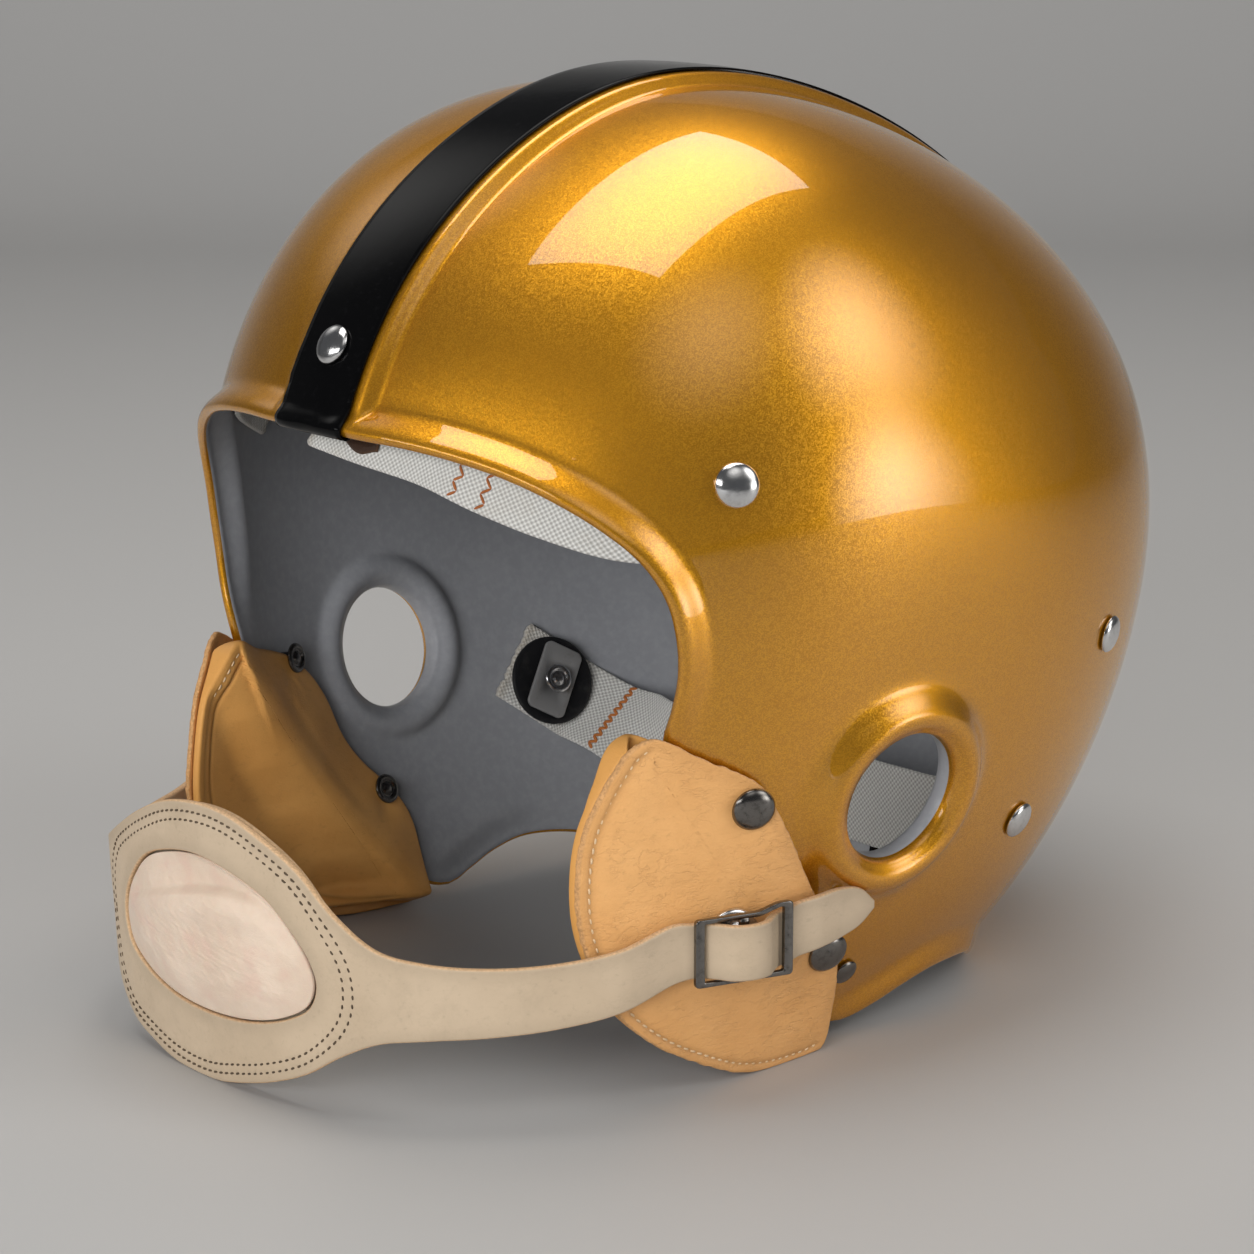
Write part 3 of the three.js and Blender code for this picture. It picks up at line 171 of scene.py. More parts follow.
def smooth_mesh(name, points, faces, material):
    """A mesh in metres with one material, shaded smoothly."""
    mesh = bpy.data.meshes.new(name)
    mesh.from_pydata(to_model(points).tolist(), [], faces)
    mesh.polygons.foreach_set("use_smooth", np.ones(len(mesh.polygons), bool))
    mesh.materials.append(material)
    return mesh


def piece(name, points, quads, material, nodes, slot, extra=None):
    """A closed piece that stands for its CAD nodes. Each extra is an attribute, or a UV if it is flat."""
    points, quads, extra = weld(points, quads, extra)
    faces = clean_faces(quads)
    if volume(points, faces) < 0:
        faces = [face[::-1] for face in faces]
    mesh = smooth_mesh(name, points, faces, material)
    for key, values in extra.items():
        if values.ndim == 1:
            layer = mesh.attributes.new(key, "FLOAT", "POINT")
            layer.data.foreach_set("value", values.astype(np.float32))
        else:
            loops = np.zeros(len(mesh.loops), np.int32)
            mesh.loops.foreach_get("vertex_index", loops)
            layer = mesh.uv_layers.new(name=key)
            layer.data.foreach_set("uv", values[loops].astype(np.float32).ravel())
    mesh.update()
    made = show(name, mesh)
    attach(made, "root")
    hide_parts(*nodes)
    print(f"{name}: {len(mesh.vertices)} points, {len(mesh.polygons)} faces")
    return made


def mirror(points):
    """The same points on the wearer's other side."""
    return points * np.array([-1.0, 1.0, 1.0])


def smooth_path(rows, per=24, closed=False):
    """A curve through all rows: mixes of mixes of four of them, with knots a root of a chord apart."""
    rows = np.asarray(rows, float)
    if closed:
        padded = np.vstack([rows[-1:], rows, rows[:2]])
    else:
        padded = np.vstack([2 * rows[:1] - rows[1:2], rows, 2 * rows[-1:] - rows[-2:-1]])
    gaps = np.sqrt(np.linalg.norm(np.diff(padded[:, :3], axis=0), axis=1)) + 1e-9
    knots = np.concatenate([[0], np.cumsum(gaps)])
    i = np.arange(1, len(padded) - 2)
    t = [knots[i + k][:, None, None] for k in (-1, 0, 1, 2)]
    p = [padded[i + k][:, None, :] for k in (-1, 0, 1, 2)]
    at = t[1] + (t[2] - t[1]) * (np.arange(per) / per)[None, :, None]

    def mixed(a, b, start, end):
        return ((end - at) * a + (at - start) * b) / (end - start)

    a = [mixed(p[k], p[k + 1], t[k], t[k + 1]) for k in range(3)]
    b = [mixed(a[k], a[k + 1], t[k], t[k + 2]) for k in range(2)]
    path = mixed(b[0], b[1], t[1], t[2]).reshape(-1, rows.shape[1])
    return np.vstack([path, rows[:1] if closed else rows[-1:]])


def lengths(path):
    """Length along a path up to each of its points, measured in its first three columns."""
    steps = np.linalg.norm(np.diff(path[:, :3], axis=0), axis=1)
    return np.concatenate([[0], np.cumsum(steps)])


def along(path, measure, at):
    """Each column of a path, read off where a measure that grows along it has the given values."""
    return np.stack([np.interp(at, measure, path[:, k]) for k in range(path.shape[1])], -1)


def ease(x, low, high):
    """Smooth step from 0 at low to 1 at high."""
    t = np.clip((x - low) / (high - low), 0, 1)
    return t * t * (3 - 2 * t)


def ripple(points, size, seed):
    """Soft random relief between about -1 and 1: a sum of slanted sine waves near one size."""
    draw = np.random.default_rng(seed)
    total = np.zeros(points.shape[:-1])
    for _ in range(12):
        wave = unit(draw.normal(size=points.shape[-1])) * 2 * math.pi / (size * draw.uniform(0.6, 1.7))
        total += np.sin(points @ wave + draw.uniform(0, 2 * math.pi))
    return total / 4


# %% [markdown]
# ## Shader maths
# A material is written as expressions. A small class wraps a socket, so that adding or
# multiplying two of them places the Math nodes, and one method places any other node.

# %% Sockets as numbers


class Wire:
    """A socket in a node tree that can be used in sums and products."""

    def __init__(self, tree, socket):
        self.tree, self.socket = tree, socket

    def maths(self, operation, *values):
        """A Math node over some wires or numbers."""
        inputs = {f"i{place}": value for place, value in enumerate(values)}
        return add_node(self.tree, "ShaderNodeMath", {"operation": operation}, **inputs)

    def __add__(self, other):
        return self.maths("ADD", self, other)

    def __sub__(self, other):
        return self.maths("SUBTRACT", self, other)

    def __rsub__(self, other):
        return self.maths("SUBTRACT", other, self)

    def __mul__(self, other):
        return self.maths("MULTIPLY", self, other)

    __radd__, __rmul__ = __add__, __mul__

    def sine(self):
        return self.maths("SINE", self)

    def absolute(self):
        return self.maths("ABSOLUTE", self)

    def between(self, low, high, start=0.0, end=1.0):
        """Smooth passage from start to end while the value goes from low to high."""
        return add_node(self.tree, "ShaderNodeMapRange", {"interpolation_type": "SMOOTHSTEP"},
                        Value=self, From_Min=low, From_Max=high, To_Min=start, To_Max=end)


def connect(tree, value, socket):
    """Links a wire to a socket, or sets the socket's own value."""
    if isinstance(value, Wire):
        tree.links.new(value.socket, socket)
    else:
        socket.default_value = value


def add_node(tree, kind, settings=None, outlet=0, **inputs):
    """A node with its settings, then its sockets: by name with _ for a space, or i and a number."""
    made = tree.nodes.new(kind)
    for key, value in (settings or {}).items():
        setattr(made, key, value)
    for key, value in inputs.items():
        numbered = key[0] == "i" and key[1:].isdigit()
        connect(tree, value, made.inputs[int(key[1:]) if numbered else key.replace("_", " ")])
    return Wire(tree, made.outputs[outlet])


class Finish:
    """A material with its principled shader, object coordinates and a few common textures."""

    def __init__(self, name, **constants):
        self.material = bpy.data.materials.new(name)
        self.material.use_nodes = True
        self.tree = self.material.node_tree
        self.shader = self.tree.nodes["Principled BSDF"]
        self.set(**constants)
        self.place = add_node(self.tree, "ShaderNodeTexCoord", outlet=3)

    def set(self, **values):
        """Sets or links the shader's own sockets."""
        for key, value in values.items():
            connect(self.tree, value, self.shader.inputs[key.replace("_", " ")])

    def node(self, kind, settings=None, outlet=0, **inputs):
        return add_node(self.tree, kind, settings, outlet, **inputs)

    def vector(self, operation, outlet=0, **inputs):
        return self.node("ShaderNodeVectorMath", {"operation": operation}, outlet, **inputs)

    def noise(self, scale, detail=3.0, roughness=0.5, where=None, outlet=0):
        """Noise whose scale is in cycles per metre."""
        return self.node("ShaderNodeTexNoise", None, outlet, Vector=where or self.place,
                         Scale=float(scale), Detail=float(detail), Roughness=float(roughness))

    def cells(self, scale, feature="F1", outlet=0, where=None):
        """Cells about one over the scale of a metre wide."""
        return self.node("ShaderNodeTexVoronoi", {"feature": feature}, outlet,
                         Vector=where or self.place, Scale=float(scale))

    def mix(self, share, first, second):
        """Mixes two colours by a share."""
        pair = [value if isinstance(value, Wire) else (*value, 1.0) for value in (first, second)]
        return self.node("ShaderNodeMix", {"data_type": "RGBA"}, 2, i0=share, i6=pair[0], i7=pair[1])

    def attribute(self, name):
        return self.node("ShaderNodeAttribute", {"attribute_name": name}, 2)

    def bump(self, height, strength=1.0, distance=0.001, **under):
        return self.node("ShaderNodeBump", None, 0, Height=height, Strength=strength, Distance=distance,
                         **under)


print("shader helpers ready")

# %% [markdown]
# ## The head form
# The shell was moulded over a head form. It is read as one smooth radius in every direction from
# a centre inside it: a blended ellipsoid, longer behind than in front, with a few broad swellings
# and hollows where the real mould bulges over the temples, the ears and the back of the head. A
# sculpted mesh could look the same, but every other piece can lie exactly on a formula.

# %% Radius of the shell
CENTRE = np.array([0.0, 3.0, 117.0])
HALF_WIDTH, FRONT_REACH, REAR_REACH = 117.0, 108.0, 161.0
UPWARD_REACH, DOWNWARD_REACH, AXIS_BLEND = 124.0, 158.0, 0.35
WALL = 3.2
SWELLINGS = [  # place, yaw, pitch, spread, height
    ("temple", 62, 38, 30, 2.5),
    ("rear of crown", 180, 60, 34, -2.5),
    ("cheek", 90, -25, 28, -6.5),
    ("nape", 180, -30, 34, -2.5),
    ("behind the ear", 125, 12, 34, 4.5),
    ("side of crown", 90, 62, 28, 6.5),
    ("side", 80, 5, 30, -3.5),
    ("top of crown", 0, 75, 30, -8),
]


def shell_radius(d):
    """One over the root of the blended quadratic form, plus a Gaussian-like bump per swelling."""
    rearward = 0.5 * (1 + d[..., 1] / np.hypot(d[..., 1], AXIS_BLEND))
    upward = 0.5 * (1 + d[..., 2] / np.hypot(d[..., 2], AXIS_BLEND))
    lengthwise = (1 - rearward) / FRONT_REACH**2 + rearward / REAR_REACH**2
    vertical = (1 - upward) / DOWNWARD_REACH**2 + upward / UPWARD_REACH**2
    form = d[..., 0] ** 2 / HALF_WIDTH**2 + d[..., 1] ** 2 * lengthwise + d[..., 2] ** 2 * vertical
    radius = form**-0.5
    for _, yaw, pitch, spread, height in SWELLINGS:
        for side in (1,) if yaw % 180 == 0 else (1, -1):
            cosine = d @ direction(side * yaw, pitch)
            radius = radius + height * np.exp((cosine - 1) / (1 - math.cos(math.radians(spread))))
    return radius


def height_over(points):
    """How far points lie outside the shell's plain outer form, along the ray from the centre."""
    arm = points - CENTRE
    distance = np.linalg.norm(arm, axis=-1)
    return distance - shell_radius(arm / distance[..., None])


def shell_normal(points, step=0.05):
    """Outward normal: the slope of the height, by central differences."""
    slope = [height_over(points + step * e) - height_over(points - step * e) for e in np.eye(3)]
    return unit(np.stack(slope, -1))


def on_shell(points, offset=0.0):
    """Points drawn along their rays onto the shell, then moved out along its normal."""
    arm = unit(points - CENTRE)
    base = CENTRE + arm * shell_radius(arm)[..., None]
    return base + shell_normal(base) * np.asarray(offset, float)[..., None]


def shell_side(y, z, height):
    """Sideways place where the height over the shell is as asked, by halving."""
    inner, outer = np.zeros_like(y), np.full_like(y, 150.0)
    for _ in range(24):
        middle = (inner + outer) / 2
        beyond = height_over(np.stack([middle, y, z], -1)) > height
        inner, outer = np.where(beyond, inner, middle), np.where(beyond, middle, outer)
    return inner


print("crown height", round(float(on_shell(np.array([0.0, 18, 240.0]))[2]), 1), "mm")

# %% [markdown]
# ## The edge and the rib
# The edge of the moulding flares outward and is rounded over, which stiffens it. A raised rib
# runs over the crown from the brow to the nape, and sinks into the flare at both ends. Both are
# heights added to the form, so they run into each other without the seam that a boolean leaves.

# %% Edge of the shell
RIM = np.array([  # x, y, z, flare
    (0, -103, 161.5, 4.5), (17, -102, 161.2, 4.5), (32, -99.4, 160.8, 4.5), (46, -95.4, 159.2, 4.5),
    (59, -90.5, 156.3, 4.5), (70.4, -84.8, 151.7, 4.5), (81, -78, 145, 4.5), (88.4, -72, 137.5, 4.5),
    (92, -67.3, 128.5, 4.3), (93, -64.8, 118.7, 4), (92.5, -63.8, 108.7, 3.4), (91, -64.4, 99.9, 2.6),
    (88.5, -65, 91, 1.2), (87.5, -62.5, 80, 0.4), (88, -56.5, 67, 0), (89, -47, 52, 0),
    (88, -35, 36, 0), (84, -21, 20, 0.4), (80, -8, 8, 1.5), (79, 4, 3, 2.5),
    (81, 14.6, 5, 3), (82, 24.4, 8.3, 3), (81.5, 36.4, 10.4, 3), (77, 53.2, 8, 3),
    (70, 67, 0, 3), (60, 79, -6.3, 3), (46, 90, -4.6, 3), (24, 103, 1, 3), (0, 108, 3, 3),
])
PER_RIM_ROW = 60
FLARE_REACH = 10.0
EDGE_RADIUS = WALL / 2
RIB_HALF_TOP, RIB_HALF_FOOT, RIB_HEIGHT = 14.5, 18.2, 3.0


def rim_half():
    """The half edge on the wearer's left as x, y, z, flare, closely spaced."""
    rows = RIM.copy()
    rows[:, :3] = on_shell(rows[:, :3])
    other = rows[-2:0:-1] * [-1, 1, 1, 1]
    loop = smooth_path(np.vstack([rows, other]), PER_RIM_ROW, closed=True)
    half = loop[: PER_RIM_ROW * (len(RIM) - 1) + 1]
    half[:, :3] = on_shell(half[:, :3])
    return half


def rim_frame(path):
    """At each place of a path along the edge: the direction in the skin that leads inward."""
    tangent = unit(np.gradient(path[:, :3], axis=0))
    return unit(np.cross(shell_normal(path[:, :3]), tangent))


def flare_rise(flare, e):
    """How far the wall leans out at a distance e from the edge: half a cosine wave."""
    return flare * 0.5 * (1 + np.cos(np.pi * np.clip((e - 1) / (FLARE_REACH - 1), 0, 1)))


def rib_rise(x):
    """Height of the centre rib at a distance x from the middle: flat, with a smooth flank."""
    return RIB_HEIGHT * ease(-np.abs(x), -RIB_HALF_FOOT, -RIB_HALF_TOP)


def joined(a, b, power=5):
    """The larger of two heights, with a soft passage where they are equal."""
    return (a**power + b**power) ** (1 / power)


EDGE = rim_half()
EDGE_INWARD = rim_frame(EDGE)
EDGE_INWARD[[0, -1], 0] = 0
print("half edge", round(float(lengths(EDGE)[-1])), "mm")

# %% [markdown]
# ## The shell's grid
# The rib has to stay crisp, so the columns near the middle run along it at constant distances
# from the middle. Each side is one four-cornered patch between the rib, the brow, the lower
# edge and the nape. Letting every point slide to the mean of its neighbours evens the patch out.

# %% Base grid of one half
RIB_COLUMNS = np.array([0, 3, 6, 9, 11.2, 12.7, 13.6, 14.2, 14.7, 15.2, 15.7, 16.3, 16.9, 17.5, 18.1,
                        18.8, 20.0])
CREST_ROWS, SIDE_ROWS = 150, 70
CORNER_FRONT, CORNER_REAR = 14.4, 25.0  # rows of the edge table where a side patch has its corners
NEAR_MIDDLE = 200  # fine places of the edge at each end that hold the rib's columns
BAND = np.array([10.0, 8.8, 7.7, 6.7, 5.8, 5.0, 4.2, 3.5, 2.9, 2.3, 1.6])


def inward_at(fine):
    """The direction that leads in from places of the edge, which are given as row numbers."""
    return unit(along(EDGE_INWARD, np.arange(len(EDGE)), fine))


def edge_at(fine, e):
    """Points of the shell's plain form at a distance e in from places of the edge."""
    return on_shell(along(EDGE, np.arange(len(EDGE)), fine)[:, :3] + inward_at(fine) * e)


def stations():
    """Places of the half edge, as row numbers: the rib's columns, then each side of the patch."""
    index = np.arange(len(EDGE), dtype=float)
    inset = edge_at(index, FLARE_REACH)
    brow = np.interp(RIB_COLUMNS, inset[:NEAR_MIDDLE, 0], index[:NEAR_MIDDLE])
    nape = np.interp(RIB_COLUMNS, inset[::-1][:NEAR_MIDDLE, 0], index[::-1][:NEAR_MIDDLE])
    reach = lengths(inset)
    front, rear = (np.interp(corner * PER_RIM_ROW, index, reach) for corner in (CORNER_FRONT, CORNER_REAR))
    start, end = np.interp([brow[-1], nape[-1]], index, reach)
    stretches = ((start, front, SIDE_ROWS), (front, rear, CREST_ROWS), (rear, end, SIDE_ROWS))
    sides = [np.interp(np.linspace(a, b, count + 1), reach, index) for a, b, count in stretches]
    return brow, sides, nape


def crest_columns(x, start, end, rows):
    """Points of the shell in the plane of each x, evenly spread in angle between its two ends."""
    share = np.linspace(0, 1, rows)[:, None]
    first, last = (np.arctan2(p[:, 2] - CENTRE[2], CENTRE[1] - p[:, 1]) for p in (start, end))
    last = np.where(last < first, last + 2 * math.pi, last)
    angle = first + (last - first) * share
    width = np.broadcast_to(x, angle.shape)
    sine = width / 120.0
    for _ in range(6):
        cosine = np.sqrt(1 - sine**2)
        d = np.stack([sine, -cosine * np.cos(angle), cosine * np.sin(angle)], -1)
        sine = width / shell_radius(d)
    points = CENTRE + d * shell_radius(d)[..., None]
    points[0], points[-1] = start, end
    return points


def relaxed_patch(top, bottom, left, right, turns=400):
    """A grid between four borders, blended and then slid to the mean of each point's neighbours."""
    u = np.linspace(0, 1, len(top))[None, :, None]
    v = np.linspace(0, 1, len(left))[:, None, None]
    corners = (1 - u) * ((1 - v) * top[0] + v * bottom[0]) + u * ((1 - v) * top[-1] + v * bottom[-1])
    grid = (1 - v) * top + v * bottom + (1 - u) * left[:, None] + u * right[:, None] - corners
    grid = on_shell(grid)
    grid[0], grid[-1], grid[:, 0], grid[:, -1] = top, bottom, left, right
    for turn in range(turns):
        middle = (grid[:-2, 1:-1] + grid[2:, 1:-1] + grid[1:-1, :-2] + grid[1:-1, 2:]) / 4
        arm = unit(middle - CENTRE)
        grid[1:-1, 1:-1] = CENTRE + arm * shell_radius(arm)[..., None] if turn % 20 == 19 else middle
    grid[1:-1, 1:-1] = on_shell(grid[1:-1, 1:-1])
    return grid


BROW_AT, SIDES_AT, NAPE_AT = stations()
HALF_AT = np.concatenate([BROW_AT, SIDES_AT[0][1:], SIDES_AT[1][1:], SIDES_AT[2][1:], NAPE_AT[::-1][1:]])
band_grid = np.stack([edge_at(HALF_AT, e) for e in BAND])
band_e = np.broadcast_to(BAND[:, None], band_grid.shape[:2])
HALF_FLARE = np.interp(HALF_AT, np.arange(len(EDGE)), EDGE[:, 3]).clip(0)
band_grid[:, 0, 0] = band_grid[:, -1, 0] = 0
inset = band_grid[0]
columns = len(RIB_COLUMNS)
crest = crest_columns(RIB_COLUMNS, inset[:columns], inset[::-1][:columns], CREST_ROWS + 1)
crest[:, 0, 0] = 0
cut = np.cumsum([columns - 1, SIDE_ROWS, CREST_ROWS, SIDE_ROWS])
patch = relaxed_patch(crest[:, -1], inset[cut[1] : cut[2] + 1], inset[cut[0] : cut[1] + 1],
                      inset[cut[2] : cut[3] + 1][::-1])
print("patch", patch.shape, "crest", crest.shape, "edge band", band_grid.shape)

# %% [markdown]
# ## Ear holes
# Each ear hole is moulded with a rolled ring that stands proud of the shell, and the wall turns
# in at the hole. The ring is round while the patch is not, so the patch's cells near the hole are
# taken out, the gap's border is drawn onto a circle, and round rows fill it down to the hole.

# %% Ear ring in the grid
EAR_SEAT = on_shell(np.array([117.0, 0.0, 64.0]))
EAR_AXIS = unit(np.array([1.0, -0.06, -0.2]))
EAR_UP = unit(np.array([0.0, 0.0, 1.0]) - EAR_AXIS * EAR_AXIS[2])
EAR_ALONG = np.cross(EAR_UP, EAR_AXIS)
RING_FOOT = 34.0
EAR_SIDE = 60.0  # the ear's region begins this far from the middle
FAR = 99.0  # a distance from the edge at which nothing near the edge matters
RING_PROFILE = np.array([  # distance from the axis, height over the shell
    (17.1, 1.4), (18, 2.5), (19, 3.5), (20.2, 4.4), (21.4, 4.9), (22.6, 5.0), (23.8, 4.7), (25, 4.0),
    (26.2, 3.0), (27.4, 2.0), (28.8, 1.05), (30.4, 0.4), (32, 0.1), (34, 0),
])
INNER_RING = np.array([  # distance from the axis, depth of the inner skin under the plain form
    (17.1, 2.2), (18, 3.6), (19, 4.7), (20.2, 5.5), (21.6, 6.0), (23, 6.0), (24.4, 5.5), (25.5, 4.7),
    (26.4, 3.9), (27.2, 3.4), (28.4, WALL), (34, WALL),
])
RING_ROWS = np.array([34, 32.6, 31.4, 30.4, 29.5, 28.7, 27.9, 27.1, 26.3, 25.5, 24.7, 23.9, 23.1, 22.3,
                      21.5, 20.7, 20, 19.4, 18.7])


def ring_rise(distance, profile=RING_PROFILE):
    """Height of the rolled ring, or its depth inside, read off the smoothed profile."""
    path = smooth_path(profile, per=8)
    return np.interp(distance, path[:, 0], path[:, 1])


def ear_polar(points):
    """Distance of points from the ear hole's axis, and their angle round it."""
    arm = points - EAR_SEAT
    a, b = arm @ EAR_UP, arm @ EAR_ALONG
    return np.hypot(a, b), np.arctan2(b, a)


def ear_points(distance, angle):
    """Points of the plain form at a distance and angle from the ear's axis, slid along the axis."""
    spoke = EAR_UP * np.cos(angle)[..., None] + EAR_ALONG * np.sin(angle)[..., None]
    points = EAR_SEAT + spoke * np.asarray(distance, float)[..., None]
    for _ in range(8):
        points = points - EAR_AXIS * (height_over(points) / (shell_normal(points) @ EAR_AXIS))[..., None]
    return points


def open_ear(points, quads):
    """Takes out the cells near the ear, and follows the gap's border from corner to corner."""
    distance, angle = ear_polar(points)
    gone = ((distance < RING_FOOT) & (points[:, 0] > EAR_SIDE))[quads].any(1)
    ways = {tuple(side) for side in quad_sides(quads[gone]).tolist()}
    onward = {a: b for a, b in ways if (b, a) not in ways}
    loop = [next(iter(onward))]
    while onward[loop[-1]] != loop[0]:
        loop.append(onward[loop[-1]])
    loop = np.array(loop)
    turns = np.unwrap(angle[loop])
    if turns[-1] < turns[0]:
        loop, turns = loop[::-1], turns[::-1]
    return quads[~gone], loop, turns


def evened(turns, reach=6):
    """Angles round a closed loop, smoothed so that they only grow."""
    even = turns[0] + np.arange(len(turns)) * 2 * math.pi / len(turns)
    offset = turns - even
    shifted = [np.roll(offset, k) for k in range(-reach, reach + 1)]
    return even + np.mean(shifted, axis=0)


def slide(points, quads, free, turns=60):
    """Lets the free points slide to the mean of their neighbours, along the shell."""
    sides = quad_sides(quads)
    sides = np.unique(np.concatenate([sides, sides[:, ::-1]]), axis=0)
    sides = sides[free[sides[:, 0]]]
    count = np.bincount(sides[:, 0], minlength=len(points))[free, None]
    for _ in range(turns):
        total = [np.bincount(sides[:, 0], points[sides[:, 1], k], len(points)) for k in range(3)]
        points[free] = np.stack(total, -1)[free] / count
    points[free] = on_shell(points[free])


def stacked(grids):
    """The points or values of several grids as one list."""
    return np.concatenate([grid.reshape(-1, *grid.shape[2:]) for grid in grids])


grids = [crest, patch, band_grid]
starts = np.cumsum([0] + [grid.shape[0] * grid.shape[1] for grid in grids])
base_quads = np.concatenate([
    grid_faces(*crest.shape[:2], start=starts[0]),
    grid_faces(*patch.shape[:2], start=starts[1])[:, ::-1],
    grid_faces(*band_grid.shape[:2], start=starts[2])[:, ::-1],
])
from_edge = [np.full(crest.shape[:2], FAR), np.full(patch.shape[:2], FAR), band_e]
flares = [np.zeros(crest.shape[:2]), np.zeros(patch.shape[:2]), np.broadcast_to(HALF_FLARE, band_e.shape)]
half_points, half_quads, half_extra = weld(
    stacked(grids), base_quads, {"e": stacked(from_edge), "flare": stacked(flares)}, grid=1e-3)
half_quads, border, border_turns = open_ear(half_points, half_quads)
border_turns = evened(border_turns)
even = (np.arange(len(border)) - (len(border) - 1) / 2) * 2 * math.pi / len(border) + border_turns.mean()
blend = ease(-RING_ROWS, -RING_FOOT, -27.0)[:, None]
ring_angles = border_turns * (1 - blend) + even * blend
ring_grid = ear_points(np.broadcast_to(RING_ROWS[:, None], ring_angles.shape), ring_angles)
half_points[border] = ring_grid[0]
near_ring = (ear_polar(half_points)[0] < RING_FOOT + 16) & (half_points[:, 0] > EAR_SIDE)
near_ring[border] = False
near_ring &= np.isin(np.arange(len(half_points)), half_quads) & (half_extra["e"] > 50)
slide(half_points, half_quads, near_ring)
print("ear border", len(border), "points")

# %% [markdown]
# ## The finished skin
# The outside lies on the plain form plus the flare, the rib and the ring. The inside is one wall
# thickness further in. Rounded lips close the wall at the edge and at the ear holes.

# %% Shell mesh
LIP_TURNS = np.radians(np.linspace(0, 180, 10))
GOLD_ENDS, EAR_GOLD_ENDS = math.radians(128), math.radians(62)


def lip(base_row, inward, out_height, in_height):
    """Half a round between the two skins: it swings from outside to inside past the edge."""
    turn = LIP_TURNS[:, None, None]
    middle = ((out_height + in_height) / 2)[None, :, None]
    half = ((out_height - in_height) / 2)[None, :, None]
    normal = shell_normal(base_row)[None]
    past = inward[None] * EDGE_RADIUS * np.sin(turn)
    return base_row[None] - past + normal * (middle + half * np.cos(turn))


def ordered_half():
    """All skins and lips of the wearer's left half, as points, quads and a mark for the inside."""
    ring_base = ring_grid.reshape(-1, 3)
    base = np.concatenate([half_points, ring_base])
    e = np.concatenate([half_extra["e"], np.full(len(ring_base), FAR)])
    flare = np.concatenate([half_extra["flare"], np.zeros(len(ring_base))])
    ring_distance = ear_polar(base)[0]
    ring = np.where(base[:, 0] > EAR_SIDE, ring_rise(ring_distance), 0)
    wall = np.where(base[:, 0] > EAR_SIDE, ring_rise(ring_distance, INNER_RING), WALL)
    rise = flare_rise(flare, e)
    heights = joined(rise, rib_rise(base[:, 0])) + ring, rise - wall
    normal = shell_normal(base)
    outside, inside = (base + normal * height[:, None] for height in heights)
    ring_quads = grid_faces(*ring_angles.shape, wrap_cols=True, start=len(half_points))
    quads = np.concatenate([half_quads, ring_quads])
    a, b, c, d = (outside[quads[:, k]] for k in range(4))
    flipped = np.einsum("ij,ij->i", np.cross(c - a, d - b), a - CENTRE) < 0
    quads[flipped] = quads[flipped][:, ::-1]
    last = band_grid[-1]
    rim_rise = flare_rise(HALF_FLARE, BAND[-1])
    rim_lip = lip(last, inward_at(HALF_AT), joined(rim_rise, rib_rise(last[:, 0])), rim_rise - WALL)
    rim_lip[:, [0, -1], 0] = 0
    spoke = EAR_UP * np.cos(ring_angles[-1])[:, None] + EAR_ALONG * np.sin(ring_angles[-1])[:, None]
    ear_out, ear_in = (np.full(len(spoke), ring_rise(RING_ROWS[-1], p)) for p in (RING_PROFILE, INNER_RING))
    ear_lip = lip(ring_grid[-1], spoke, ear_out, -ear_in)
    places = [outside, inside, stacked([rim_lip]), stacked([ear_lip])]
    begin = np.cumsum([0] + [len(p) for p in places])
    faces = [quads, quads[:, ::-1] + begin[1], grid_faces(*rim_lip.shape[:2], start=begin[2])[:, ::-1],
             grid_faces(*ear_lip.shape[:2], wrap_cols=True, start=begin[3])[:, ::-1]]
    marks = [np.zeros(len(outside)), np.ones(len(inside))]
    marks += [np.repeat((LIP_TURNS > end).astype(float), grid.shape[1])
              for grid, end in ((rim_lip, GOLD_ENDS), (ear_lip, EAR_GOLD_ENDS))]
    return np.concatenate(places), np.concatenate(faces), np.concatenate(marks)


shell_points, shell_faces, shell_marks = ordered_half()
both_points = np.concatenate([shell_points, mirror(shell_points)])
both_faces = np.concatenate([shell_faces, shell_faces[:, ::-1] + len(shell_points)])
both_marks = np.tile(shell_marks, 2)
print("shell points", len(both_points))

# The nape corners and the flaps were sanded level, so that the helmet stands on them.
LEVEL_SOFTNESS = 0.5


def level(points):
    """Heights pressed smoothly to the floor: far above it nothing changes, below it all is flat."""
    z = points[..., 2:]
    return np.concatenate([points[..., :2], 0.5 * (z + np.hypot(z, LEVEL_SOFTNESS))], -1)


# %% [markdown]
# ## Paint
# The shell's gold is a flake paint: flat metal grains of many tilts lie under a clear gloss coat.
# Cells a few tenths of a millimetre wide stand for the grains. Each has its own brightness and
# tilts the normal under the coat, while the coat itself stays smooth. Inside is plain grey paint.

# %% Gold outside, grey inside


